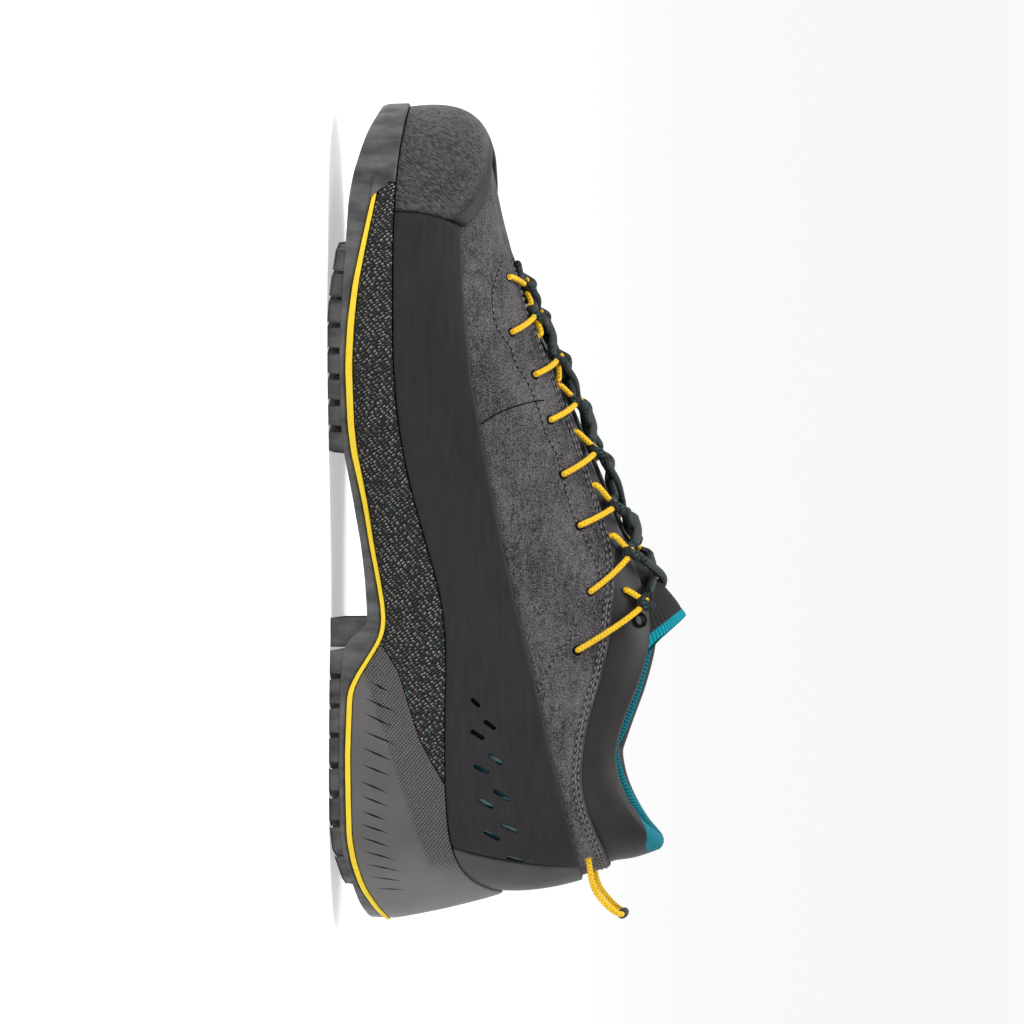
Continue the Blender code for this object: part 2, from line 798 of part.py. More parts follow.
def wedge_cutter(name, lift):
    """A block under the line where the wedge meets the midsole, as wide as the shoe."""
    bm = bmesh.new()
    front = [(row.s + lift, row.z + lift) for row in SPLITS]
    profile = [(SPLITS[0].s + lift, -20.0)] + front + [(SPLITS[-1].s - 1.0, 90.0), (-30.0, 90.0), (-30.0, -20.0)]
    half_width = 90.0
    faces = []
    for w in (-half_width, half_width):
        faces.append([bm.verts.new(to_row((s, w, z))) for s, z in profile])
    bm.faces.new(faces[0])
    bm.faces.new(faces[1][::-1])
    for i in range(len(profile)):
        j = (i + 1) % len(profile)
        bm.faces.new((faces[0][i], faces[0][j], faces[1][j], faces[1][i]))
    bmesh.ops.recalc_face_normals(bm, faces=bm.faces)
    return finish_mesh(bm, name, None, CUTTERS)


def make_midsole():
    midsole = ring_solid("midsole", cup_rings(), midsole_material())
    boolean(midsole, "DIFFERENCE", wedge_cutter("midsole_cut", GAP))
    wedge = ring_solid("heel_wedge", cup_rings(), wedge_material())
    boolean(wedge, "INTERSECT", wedge_cutter("wedge_cut", 0.0))


def make_insole():
    inset = BED_INSET + 0.8
    rings = [
        ring(RHO, 2, inset, lambda s: bed_floor(s) + GAP),
        ring(RHO, 2, inset - 0.3, lambda s: bed_floor(s) + INSOLE / 2),
        ring(RHO, 2, inset + 0.2, lambda s: bed_floor(s) + INSOLE),
    ]
    ring_solid("insole", rings, insole_material())


# The upper and its overlays

def make_upper():
    """The hollow boot: microfibre outside, lining inside, and a padded collar."""
    marks = levels(RHO)
    lines = [wall(RHO, v) for v in marks]
    pad = ankle(RHO) * COLLAR_PAD
    crown = (lines[-1] + shifted(RHO, 1.0, -(WALL + pad * 0.8))) / 2
    crown[:, 2] += 0.3 + COLLAR_CROWN * ankle(RHO)
    lines.append(crown)
    inner = [marks[-1] * 0.997, marks[-2], marks[-3], marks[-4], marks[RUBBER], marks[1], marks[0]]
    for v in inner:
        swell = np.clip((v - 0.42) / 0.4, 0, 1)
        lines.append(shifted(RHO, v, -(WALL + pad * swell)))
    closed_tube("upper", lines, collar_material())


def overlay(name, rho, top_level, base, thickness, look):
    """A sheet over the wall from the rim up to a mesh line, standing base off the wall."""
    marks = levels(rho)[: top_level + 1]
    inner = [shifted(rho, v, base) for v in marks]
    outer = [shifted(rho, v, base + thickness) for v in marks]
    return finish_mesh(shell(inner, outer), name, look)


def make_suede():
    marks = levels(RHO)[: SUEDE_TOP + 1]
    inner = [shifted(RHO, v, GAP) for v in marks]
    outer = [shifted(RHO, v, GAP + SUEDE) for v in marks]
    finish_mesh(shell(inner, outer, closed=True), "suede_overlay", suede_material())


OVER_SUEDE = GAP + SUEDE + GAP


def between(low, high):
    """Samples of RHO inside a stretch, with its two ends."""
    inside = [r for r in RHO if low + 0.12 < r < high - 0.12]
    return np.array([low, *inside, high])


def make_toe_cap():
    overlay("toe_cap", between(*CAP_ENDS), RUBBER, OVER_SUEDE, CAP, cap_material())


def make_rands():
    join = 0.035
    stretches = {
        "rand_medial": (HEEL_ENDS[0] + join, CAP_ENDS[0] - join),
        "rand_lateral": (CAP_ENDS[1] + join, HEEL_ENDS[1] - join),
    }
    for name, (low, high) in stretches.items():
        overlay(name, between(low, high), RUBBER, OVER_SUEDE, RAND, rand_material())
    rho = np.array([r - LOOP if r > ROWS else r for r in RHO])
    rho = sorted(r for r in rho if abs(r) < HEEL_ENDS[0] - 0.12)
    rho = np.array([-HEEL_ENDS[0] + join] + list(rho) + [HEEL_ENDS[0] - join])
    overlay("heel_rand", rho, RUBBER, OVER_SUEDE, RAND, wedge_material())


# The tongue

Slice = namedtuple("Slice", "s z middle half_width sag sweep thickness")
SLICES = [
    Slice(222.0, 61.0, 0.0, 12.0, 2.6, 0.0, 2.6),
    Slice(204.0, 71.2, -1.5, 19.0, 5.2, 0.5, 3.2),
    Slice(182.0, 81.8, -3.4, 23.0, 6.6, 1.0, 3.6),
    Slice(160.0, 91.4, -4.0, 24.5, 7.2, 1.5, 4.0),
    Slice(142.0, 100.2, -3.8, 25.5, 8.0, 3.0, 4.6),
    Slice(129.0, 108.4, -3.4, 26.0, 9.6, 6.0, 5.4),
    Slice(117.0, 118.6, -2.4, 25.4, 12.0, 10.0, 6.0),
    Slice(108.0, 126.0, -1.4, 23.6, 14.6, 13.5, 5.8),
]


def tongue_line(row, share, depth):
    """A point across the tongue: share runs from -1 (lateral) to 1 (medial)."""
    s = row.s - row.sweep * share**2
    z = row.z - row.sag * share**2 - depth
    return (s, row.middle + row.half_width * share, z)


def make_tongue():
    """Its front end lies under the vamp, where it is sewn to the upper."""
    s, w, z = shifted(ROWS, levels(np.array([ROWS]))[-2][0], -(WALL + GAP))
    front = Slice(s, z, w, 9.0, 2.6, 0.0, 2.4)
    shares = np.linspace(-1, 1, 9)
    bm = bmesh.new()
    sections = []
    for row in [front, *SLICES]:
        face = [tongue_line(row, t, 0.5 * abs(t) ** 4) for t in shares]
        back = [tongue_line(row, t, row.thickness * (1 - 0.55 * t**4)) for t in shares[::-1]]
        sections.append([bm.verts.new(to_row(p)) for p in face + back])
    for first, second in zip(sections, sections[1:]):
        for i in range(len(first)):
            j = (i + 1) % len(first)
            bm.faces.new((first[i], second[i], second[j], first[j]))
    bm.faces.new(sections[0])
    bm.faces.new(sections[-1][::-1])
    finish_mesh(bm, "tongue", tongue_material())


# Lace, lace loops and pull loop

# Where each lace loop leaves the suede (hole), where the lace pulls it (bight) and where it goes back into
# the smooth strip (leg), toe first. down is measured along the wall from the edge of the opening.
LoopRow = namedtuple("LoopRow", "hole_s hole_down bight_s bight_down leg_s leg_down")
MEDIAL_LOOPS = [
    LoopRow(229.0, 26.2, 225.4, 8.5, 219.0, 10.0),
    LoopRow(209.5, 30.9, 215.2, 12.1, 208.5, 12.5),
    LoopRow(194.4, 25.1, 199.2, 5.8, 193.0, 7.0),
    LoopRow(178.4, 24.1, 183.9, 4.8, 190.5, 8.3),
    LoopRow(159.1, 25.5, 166.7, 4.8, 174.1, 10.2),
    LoopRow(141.0, 24.8, 147.1, 6.4, 154.6, 12.4),
    LoopRow(117.6, 24.2, 130.7, 6.4, 136.8, 12.0),
    LoopRow(96.9, 24.3, 113.2, 4.0, 118.0, 10.0),
]
LATERAL_LOOPS = [
    LoopRow(228.5, 18.0, 228.0, 4.6, 221.5, 6.5),
    LoopRow(216.4, 16.5, 216.5, 4.0, 210.0, 6.0),
    LoopRow(201.9, 17.1, 200.7, 4.0, 194.5, 6.0),
    LoopRow(182.9, 19.8, 184.5, 5.7, 193.0, 6.6),
    LoopRow(162.7, 20.0, 165.4, 5.7, 174.4, 7.4),
    LoopRow(140.7, 22.7, 144.9, 4.8, 153.2, 7.6),
    LoopRow(119.0, 23.1, 131.9, 4.4, 138.5, 9.0),
    LoopRow(94.1, 22.5, 112.0, 4.0, 117.5, 9.4),
]
LOOP_SIDES = {1: MEDIAL_LOOPS, -1: LATERAL_LOOPS}
BIGHT_LIFT = 3.1
ON_SUEDE = GAP + SUEDE + GAP + LOOP_RADIUS
ON_STRIP = GAP + LOOP_RADIUS


def loop_path(row, side):
    """From the hole in the suede up to the bight, round the lace and down to the smooth strip."""
    hole = above(side, row.hole_s, row.hole_down, ON_SUEDE)
    climb = [
        above(
            side,
            row.hole_s + (row.bight_s - row.hole_s) * share,
            row.hole_down + (row.bight_down - row.hole_down) * share,
            ON_SUEDE + 0.5 * share,
        )
        for share in (0.35, 0.7)
    ]
    bight = above(side, row.bight_s, row.bight_down, BIGHT_LIFT + 0.4)
    leg = above(side, row.leg_s, row.leg_down, ON_STRIP)
    if row.leg_down > band("strip", place(side, row.leg_s, 0.0)[0]) - 2.0:
        leg = above(side, row.leg_s, row.leg_down, ON_SUEDE)
    turn = above(
        side, (row.bight_s * 2 + row.leg_s) / 3, (row.bight_down * 2 + row.leg_down) / 3, BIGHT_LIFT - 0.3
    )
    return [hole, *climb, bight, turn, leg]


def make_loops():
    for side, name in ((1, "medial"), (-1, "lateral")):
        for number, row in enumerate(LOOP_SIDES[side], start=1):
            path = smooth_path(loop_path(row, side), 7)
            tube(f"loop_{name}_{number}", path, LOOP_RADIUS, cord_material())


def lace_turn(row, side):
    """Where the lace turns back, between the loop's bight and the opening."""
    clear = LOOP_RADIUS + LACE_RADIUS + 0.5
    return above(side, row.bight_s, row.bight_down - clear, LACE_RADIUS + 0.9)


def lace_edge(row, towards, side):
    """Where the lace crosses the edge of the opening on its way to the row towards."""
    s = row.bight_s + (towards.bight_s - row.bight_s) * 0.18
    return above(side, s, 0.4, LACE_RADIUS + 1.7)


def tongue_height(s, w):
    """Height of the tongue's face above the plan point (s, w)."""
    at = {name: np.interp(s, column(SLICES, "s")[::-1], column(SLICES, name)[::-1]) for name in Slice._fields}
    share = np.clip((w - at["middle"]) / at["half_width"], -1, 1)
    lifted = s + at["sweep"] * share**2
    return np.interp(lifted, column(SLICES, "s")[::-1], column(SLICES, "z")[::-1]) - at["sag"] * share**2


def strand(side):
    """Half of the lace: from the middle of the first bar up to the last loop, crossing at each row."""
    rows = LOOP_SIDES[side]
    points = [shifted(ROWS, v_below_top(ROWS, 5.0)[0], GAP + SUEDE + LACE_RADIUS + 0.6)]
    points.append(lace_turn(rows[0], side))
    for number in range(1, len(rows)):
        here, there = LOOP_SIDES[side][number - 1], LOOP_SIDES[-side][number]
        first, last = lace_edge(here, there, side), lace_edge(there, here, -side)
        middle = (first + last) / 2
        middle[2] = max(middle[2] + 0.5, tongue_height(middle[0], middle[1]) + LACE_OVER_TONGUE)
        points += [first, middle, last, lace_turn(there, -side)]
        side = -side
    return smooth_path(points, 43)


def make_lace():
    medial = as_mesh(tube("lace", strand(1), LACE_RADIUS, lace_material()))
    lateral = as_mesh(tube("lace_other_half", strand(-1), LACE_RADIUS, lace_material(), target=CUTTERS), CUTTERS)
    boolean(medial, "UNION", lateral)


PULL_ANCHOR = (17.0, 16.8, 90.5)
PULL_PATH = [
    (13.2, 18.2, 92.6),
    (8.4, 19.4, 95.4),
    (4.6, 18.8, 99.0),
    (2.9, 16.2, 101.6),
    (2.6, 13.2, 102.6),
]
SLEEVE_END = 12.6


def make_pull_loop():
    for side, name in ((1, "medial"), (-1, "lateral")):
        rho, v = (1.35, 0.0) if side > 0 else (LOOP - 1.35, 0.0)
        v = v_at_height(rho, PULL_ANCHOR[2])[0]
        root = shifted(rho, v, GAP + SUEDE + GAP + LOOP_RADIUS * 0.6)
        path = [root] + [(s, side * w, z) for s, w, z in PULL_PATH]
        tube(f"pull_cord_{name}", smooth_path(path, 9), LOOP_RADIUS, cord_material())
    s, _, z = PULL_PATH[-1]
    sleeve = [(s + 0.25 * (w / SLEEVE_END) ** 2 - 0.25, w, z) for w in np.linspace(-SLEEVE_END, SLEEVE_END, 7)]
    tube("pull_sleeve", sleeve, SLEEVE_RADIUS, lace_material(), sides=8)


make_outsole()
make_stripe()
make_midsole()
make_insole()
make_upper()
make_suede()
make_toe_cap()
make_rands()
make_tongue()
make_loops()
make_lace()
make_pull_loop()
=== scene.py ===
"""Looks of an approach shoe for the right foot, standing empty on its sole.

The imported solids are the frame. Each section builds one piece, or a group of like pieces, with its sizes,
its material and its place, in the order in which the shoe is put together. Lengths are millimetres: s runs
forward from the back of the heel, w from the middle line to the inner (medial) side, and z up from the
floor.
"""

import math
from collections import namedtuple

import bmesh
import bpy
import numpy as np
from mathutils import Matrix, Vector
from mathutils.bvhtree import BVHTree


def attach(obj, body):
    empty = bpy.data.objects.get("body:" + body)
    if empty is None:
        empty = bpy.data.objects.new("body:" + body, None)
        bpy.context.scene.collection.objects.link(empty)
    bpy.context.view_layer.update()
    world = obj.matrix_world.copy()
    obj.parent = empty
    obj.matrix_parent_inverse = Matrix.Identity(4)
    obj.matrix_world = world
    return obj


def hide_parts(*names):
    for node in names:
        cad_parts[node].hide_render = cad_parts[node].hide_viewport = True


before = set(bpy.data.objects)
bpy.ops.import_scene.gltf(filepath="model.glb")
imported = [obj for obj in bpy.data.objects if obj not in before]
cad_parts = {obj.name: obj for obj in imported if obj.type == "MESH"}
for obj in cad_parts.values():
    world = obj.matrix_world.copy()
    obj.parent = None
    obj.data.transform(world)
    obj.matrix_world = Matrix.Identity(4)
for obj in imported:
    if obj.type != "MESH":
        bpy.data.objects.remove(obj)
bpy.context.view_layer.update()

# Camera, floor and light
# The shoe is seen from its inner side through a long lens, with the picture turned so that the toe points up.
# It stands on a white floor under a large soft lamp, in an even white room.

MM = 0.001
LENGTH = 292.0
VIEW_HEIGHT = 62.8
CAMERA_RISE = math.radians(3.0)
CAMERA_DISTANCE = 4.0
MM_PER_PIXEL = 0.358
PICTURE = 1024
SENSOR = 36.0

camera = bpy.data.cameras.new("camera")
camera.sensor_width = SENSOR
camera.lens = SENSOR * CAMERA_DISTANCE / (PICTURE * MM_PER_PIXEL * MM)
camera.clip_end = 100.0
camera_object = bpy.data.objects.new("camera", camera)
right = Vector((-math.sin(CAMERA_RISE), 0.0, math.cos(CAMERA_RISE)))
up = Vector((0.0, -1.0, 0.0))
back = Vector((math.cos(CAMERA_RISE), 0.0, math.sin(CAMERA_RISE)))
place = Matrix((right, up, back)).transposed().to_4x4()
place.translation = Vector((0.0, 0.0, VIEW_HEIGHT * MM)) + back * CAMERA_DISTANCE
camera_object.matrix_world = place
bpy.context.scene.collection.objects.link(camera_object)
bpy.context.scene.camera = camera_object

FLOOR_SIZE = 60.0
FLOOR_PAINT = (0.85, 0.85, 0.85, 1.0)
FLOOR_GLOW = 0.46
WHITE = (1.0, 1.0, 1.0, 1.0)

bpy.ops.mesh.primitive_plane_add(size=FLOOR_SIZE)
floor = bpy.context.object
floor.name = "floor"
floor_paint = bpy.data.materials.new("white_floor")
floor_paint.use_nodes = True
floor_shader = floor_paint.node_tree.nodes["Principled BSDF"]
floor_shader.inputs["Base Color"].default_value = FLOOR_PAINT
floor_shader.inputs["Emission Color"].default_value = WHITE
floor_shader.inputs["Emission Strength"].default_value = FLOOR_GLOW
floor_shader.inputs["Roughness"].default_value = 0.9
floor_shader.inputs["Specular IOR Level"].default_value = 0.0
floor.data.materials.append(floor_paint)

bpy.context.scene.view_settings.view_transform = "Standard"

# The room is bright behind the shoe and dimmer behind the camera.
world = bpy.data.worlds.new("white_room")
bpy.context.scene.world = world
world.use_nodes = True
room = world.node_tree
room_place = room.nodes.new("ShaderNodeTexCoord")
room_axes = room.nodes.new("ShaderNodeSeparateXYZ")
room_fall = room.nodes.new("ShaderNodeMapRange")
room_fall.interpolation_type = "SMOOTHSTEP"
for socket, value in (("From Min", -0.5), ("From Max", 0.5), ("To Min", 0.95), ("To Max", 0.17)):
    room_fall.inputs[socket].default_value = value
room.links.new(room_place.outputs["Generated"], room_axes.inputs[0])
room.links.new(room_axes.outputs["X"], room_fall.inputs["Value"])
room.links.new(room_fall.outputs["Result"], room.nodes["Background"].inputs["Strength"])
room.nodes["Background"].inputs["Color"].default_value = WHITE

Lamp = namedtuple("Lamp", "name x y z size power")
LAMPS = [
    Lamp("softbox_above", 0.35, -0.25, 1.4, 0.6, 12.8),
    Lamp("softbox_toe", 0.7, -1.2, 0.7, 0.4, 6.4),
    Lamp("softbox_heel", 1.1, 0.9, 0.5, 0.5, 3.0),
]
LAMP_AIM = Vector((0.0, 0.0, 0.05))

for lamp in LAMPS:
    light = bpy.data.lights.new(lamp.name, "AREA")
    light.size = lamp.size
    light.energy = lamp.power
    light_object = bpy.data.objects.new(lamp.name, light)
    light_object.location = (lamp.x, lamp.y, lamp.z)
    light_object.rotation_euler = (LAMP_AIM - light_object.location).to_track_quat("-Z", "Y").to_euler()
    bpy.context.scene.collection.objects.link(light_object)

# Outsole
# A moulded black rubber sole with lugs under the heel and the ball, and plain rubber that climbs over the
# toe. The shape of the whole shoe is worked out here: girth lines run from the rim of the midsole up to the
# opening, and every later piece is laid over them.

# One girth line a row, from heel to toe, on both sides: the low outline of the sole, the rim of the midsole
# and the opening.
Girth = namedtuple(
    "Girth",
    "low_s low_med low_lat rim_s rim_med rim_lat rim_z top_s top_med top_lat top_z",
)
GIRTHS = [
    Girth(0.5, 3.0, 3.0, 9.5, 1.5, 1.5, 59.5, 25.0, 0.0, 0.0, 114.5),
    Girth(5.0, 21.5, -13.5, 14.0, 19.5, -16.5, 49.5, 26.5, 9.8, -10.5, 114.0),
    Girth(15.0, 32.5, -23.0, 24.0, 28.5, -25.0, 43.3, 32.0, 18.6, -19.6, 110.0),
    Girth(35.0, 42.0, -32.8, 40.0, 34.8, -31.8, 41.0, 45.0, 25.8, -27.0, 102.6),
    Girth(60.0, 44.0, -38.0, 62.0, 38.2, -36.4, 40.5, 62.0, 29.2, -31.2, 100.3),
    Girth(86.0, 41.2, -40.6, 88.0, 39.2, -38.8, 40.9, 83.0, 30.3, -33.0, 107.0),
    Girth(112.0, 35.5, -42.6, 112.0, 38.8, -41.0, 39.6, 104.0, 27.3, -30.3, 112.8),
    Girth(138.0, 36.5, -45.2, 138.0, 39.8, -43.6, 33.0, 126.0, 21.0, -27.2, 108.0),
    Girth(166.0, 43.2, -49.6, 166.0, 44.0, -48.0, 26.3, 151.0, 16.2, -24.2, 97.5),
    Girth(196.0, 51.6, -52.6, 196.0, 50.4, -51.4, 23.2, 176.0, 13.8, -21.6, 87.0),
    Girth(226.0, 52.3, -49.8, 226.0, 51.4, -48.8, 22.9, 199.0, 12.0, -16.5, 77.0),
    Girth(252.0, 48.9, -40.0, 252.0, 48.2, -39.2, 23.2, 214.5, 9.4, -11.4, 69.8),
    Girth(272.0, 42.9, -28.2, 272.0, 42.4, -27.6, 24.6, 224.0, 6.0, -6.6, 65.6),
    Girth(286.5, 29.5, -7.2, 286.2, 29.2, -7.2, 26.4, 228.4, 3.4, -2.4, 63.6),
    Girth(292.0, 12.0, 12.0, 291.6, 12.0, 12.0, 27.0, 229.6, 0.6, 0.6, 63.0),
]

# How each girth line bends: its bulge and rise above the rim, and its brow and drop below the opening.
Curve = namedtuple("Curve", "bulge_med bulge_lat rise brow_med brow_lat drop")
CURVES = [
    Curve(1.0, 1.0, 22.0, 2.6, 2.6, 17.0),
    Curve(3.0, 2.6, 26.0, 3.6, 3.6, 20.0),
    Curve(3.6, 3.2, 26.0, 5.4, 5.2, 20.0),
    Curve(4.0, 3.6, 24.0, 8.0, 7.0, 17.0),
    Curve(4.0, 3.6, 22.0, 10.0, 8.4, 14.0),
    Curve(4.4, 3.4, 24.0, 13.0, 10.0, 14.0),
    Curve(5.0, 3.4, 26.0, 17.0, 13.0, 16.0),
    Curve(6.0, 2.4, 28.0, 21.0, 17.0, 10.0),
    Curve(6.4, 0.6, 27.0, 22.0, 20.0, 5.0),
    Curve(4.2, -1.2, 24.0, 22.0, 21.0, 3.0),
    Curve(2.0, -1.0, 22.0, 24.5, 24.0, 5.0),
    Curve(2.0, 1.0, 26.0, 28.0, 28.0, 7.5),
    Curve(3.0, 2.4, 31.0, 33.0, 33.0, 10.5),
    Curve(4.4, 4.2, 36.0, 36.0, 36.0, 13.5),
    Curve(5.0, 5.0, 37.0, 37.0, 37.0, 15.0),
]
ROWS = len(GIRTHS) - 1
LOOP = 2 * ROWS

# Heights along the sole: the ground line, the web between the lugs, and the stripe's lower and upper edge.
Height = namedtuple("Height", "s ground web low high")
HEIGHTS = [
    Height(0.0, 11.0, 12.5, 18.6, 20.6),
    Height(4.0, 8.2, 10.0, 15.2, 17.3),
    Height(12.5, 5.0, 7.4, 10.2, 12.4),
    Height(21.5, 2.0, 5.0, 7.5, 9.7),
    Height(30.0, 0.0, 3.7, 6.2, 8.4),
    Height(60.0, 0.0, 3.5, 5.8, 8.0),
    Height(82.0, 0.0, 3.7, 6.5, 8.7),
    Height(88.0, 0.0, 4.0, 9.2, 11.3),
    Height(95.0, 0.0, 4.2, 13.6, 15.6),
    Height(101.0, 0.0, 6.0, 17.2, 19.1),
    Height(106.5, 0.0, 13.2, 18.3, 20.2),
    Height(113.0, 0.0, 12.8, 17.8, 19.7),
    Height(123.5, 0.0, 12.0, 16.0, 17.9),
    Height(134.0, 0.0, 10.8, 14.0, 16.0),
    Height(148.6, 0.0, 8.4, 11.8, 13.9),
    Height(159.3, 0.0, 6.6, 9.6, 12.0),
    Height(166.5, 0.0, 5.2, 8.0, 10.6),
    Height(177.0, 0.0, 4.4, 6.9, 9.6),
    Height(198.0, 0.0, 4.1, 6.4, 9.2),
    Height(213.0, 0.2, 4.6, 7.3, 10.0),
    Height(227.0, 1.5, 5.4, 9.1, 11.5),
    Height(242.0, 3.8, 6.4, 12.2, 14.3),
    Height(257.0, 6.4, 7.2, 15.4, 17.3),
    Height(267.0, 8.6, 8.8, 17.4, 19.2),
    Height(281.0, 12.5, 12.6, 19.4, 21.2),
    Height(292.0, 17.4, 17.5, 21.0, 22.8),
]


def column(table, name):
    return np.array([getattr(row, name) for row in table], float)


def round_trip(med, lat):
    """Values from heel to toe along the medial side, then back along the lateral side."""
    return np.concatenate([med, lat[-2:0:-1]])


def periodic_spline(knots, period, values):
    """A smooth closed curve through values, as a function of the place on it."""
    count = len(knots)
    gaps = np.diff(np.append(knots, knots[0] + period))
    system = np.zeros((count, count))
    slopes = np.zeros_like(values)
    for i in range(count):
        following = (i + 1) % count
        system[i, i - 1] += gaps[i - 1]
        system[i, i] += 2 * (gaps[i - 1] + gaps[i])
        system[i, following] += gaps[i]
        slopes[i] = (values[following] - values[i]) / gaps[i] - (values[i] - values[i - 1]) / gaps[i - 1]
    bends = np.linalg.solve(system, 6 * slopes)

    def at(where):
        where = np.mod(where, period)
        i = np.clip(np.searchsorted(knots, where, side="right") - 1, 0, count - 1)
        j = (i + 1) % count
        gap = gaps[i][..., None]
        a = (where - knots[i])[..., None]
        b = gap - a
        cubic = (bends[i] * b**3 + bends[j] * a**3) / (6 * gap)
        line = (values[i] / gap - bends[i] * gap / 6) * b + (values[j] / gap - bends[j] * gap / 6) * a
        return cubic + line

    return at


GIRTH_PAIRS = [
    ("low_s", "low_s"), ("low_med", "low_lat"), ("rim_s", "rim_s"), ("rim_med", "rim_lat"),
    ("rim_z", "rim_z"), ("top_s", "top_s"), ("top_med", "top_lat"), ("top_z", "top_z"),
]
CURVE_PAIRS = [("bulge_med", "bulge_lat"), ("rise", "rise"), ("brow_med", "brow_lat"), ("drop", "drop")]

# Where these stand among the columns. An outline takes two of them, s and w.
LOW, RIM, RIM_Z, BULGE, RISE, BROW, DROP = 0, 2, 4, 8, 9, 10, 11
TOP = slice(5, 8)

girth_columns = np.stack(
    [
        round_trip(column(table, med), column(table, lat))
        for table, pairs in ((GIRTHS, GIRTH_PAIRS), (CURVES, CURVE_PAIRS))
        for med, lat in pairs
    ],
    axis=1,
)
rim_outline = girth_columns[:, RIM : RIM + 2]
rim_chords = np.linalg.norm(np.roll(rim_outline, -1, axis=0) - rim_outline, axis=1)
girth_knots = np.concatenate([[0.0], np.cumsum(rim_chords)])
girth_spline = periodic_spline(girth_knots[:-1], girth_knots[-1], girth_columns)


def girth(rho):
    """All columns at girth rho, where 0 is the back of the heel and ROWS is the tip of the toe."""
    return girth_spline(np.interp(np.mod(rho, LOOP), np.arange(LOOP + 1), girth_knots))


def outward(rho, first):
    """Plan direction out of an outline, whose first column is LOW or RIM."""
    along = (girth(rho + 0.02) - girth(rho - 0.02))[..., first : first + 2]
    out = np.stack([-along[..., 1], along[..., 0]], axis=-1)
    return out / np.linalg.norm(out, axis=-1, keepdims=True)


def outline(rho, first, inset):
    inset = np.broadcast_to(inset, np.shape(rho))
    return girth(rho)[..., first : first + 2] - outward(rho, first) * inset[..., None]


def side_row(rho):
    """The row from heel to toe that a girth stands on, whichever its side."""
    rho = np.mod(rho, LOOP)
    return np.minimum(rho, LOOP - rho)


def on_side(side, row):
    """The girth on this row of the medial (side = 1) or lateral (side = -1) side."""
    return row if side > 0 else LOOP - row


def smooth(x, low, high):
    """0 below low, 1 above high, and a soft step between."""
    t = np.clip((x - low) / (high - low), 0, 1)
    return t * t * (3 - 2 * t)


def height(name, s):
    """A column of HEIGHTS along the sole, with its corners rounded."""
    table_s, values = column(HEIGHTS, "s"), column(HEIGHTS, name)
    spread = (-2.4, -1.2, 0.0, 1.2, 2.4)
    return sum(np.interp(s + off, table_s, values) for off in spread) / len(spread)


def metres(points):
    """From (s, w, z) in millimetres to the frame, in metres."""
    return np.stack([points[..., 1], LENGTH / 2 - points[..., 0], points[..., 2]], axis=-1) * MM


def laid_grid(bm, around, up, where, marks=None):
    """Adds a plain grid to bm and lays it over the shoe: where(a, b) gives a point for each place on it.

    marks are functions of (a, b) that are kept on the mesh as attributes, for the material."""
    marks = marks or {}
    grid = bmesh.ops.create_grid(bm, x_segments=len(around) - 1, y_segments=len(up) - 1, size=0.5)["verts"]
    flat = np.array([vert.co[:2] for vert in grid]) + 0.5
    a = np.interp(flat[:, 0], np.linspace(0, 1, len(around)), around)
    b = np.interp(flat[:, 1], np.linspace(0, 1, len(up)), up)
    layers = {name: bm.verts.layers.float.get(name) or bm.verts.layers.float.new(name) for name in marks}
    # A new layer makes the vertices at hand stale, so they are taken from the mesh again.
    laid = list(bm.verts)[-len(flat) :]
    for vert, point in zip(laid, metres(where(a, b))):
        vert.co = point
    for name, mark in marks.items():
        for vert, value in zip(laid, np.broadcast_to(mark(a, b), a.shape)):
            vert[layers[name]] = value


WELD = 0.01
SHARP = 40.0


def welded(bm):
    """Merges doubled vertices and turns the faces out."""
    bmesh.ops.remove_doubles(bm, verts=bm.verts, dist=WELD * MM)
    bmesh.ops.recalc_face_normals(bm, faces=bm.faces)
    return bm


def mesh_object(bm, name):
    mesh = bpy.data.meshes.new(name)
    bm.to_mesh(mesh)
    bm.free()
    obj = bpy.data.objects.new(name, mesh)
    bpy.context.scene.collection.objects.link(obj)
    return obj


def shade(mesh, sharp=SHARP):
    """Shades a mesh smooth, but for edges over this angle in degrees."""
    mesh.shade_smooth()
    mesh.set_sharp_from_angle(angle=math.radians(sharp))


def shoe_piece(bm, name, look, sharp=SHARP):
    """Makes the mesh a piece of the shoe."""
    obj = mesh_object(bm, name)
    shade(obj.data, sharp)
    obj.data.materials.append(look.material)
    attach(obj, "root")
    return obj


class Socket:
    """A value in a material. Sums and products of it add Math nodes."""

    def __init__(self, look, out):
        self.look = look
        self.out = out

    def math(self, operation, *others):
        values = dict(enumerate((self, *others)))
        return self.look.node("ShaderNodeMath", {"operation": operation}, values)

    def __add__(self, other):
        return self.math("ADD", other)

    def __sub__(self, other):
        return self.math("SUBTRACT", other)

    def __rsub__(self, other):
        return (self * -1) + other

    def __mul__(self, other):
        return self.math("MULTIPLY", other)

    def __abs__(self):
        return self.math("ABSOLUTE")

    def clamp(self):
        return self.look.node("ShaderNodeClamp", {}, {0: self})

    def sine(self):
        return self.math("SINE")

    def wave(self, pitch):
        """A sine wave, one for every pitch."""
        return (self * (2 * math.pi / pitch)).sine()

    def most(self, other):
        return self.math("MAXIMUM", other)

    def ramp(self, low, high):
        """0 at low and 1 at high, softly, and level beyond them."""
        settings = {"interpolation_type": "SMOOTHSTEP"}
        return self.look.node("ShaderNodeMapRange", settings, {0: self, 1: low, 2: high})

    __radd__ = __add__
    __rmul__ = __mul__


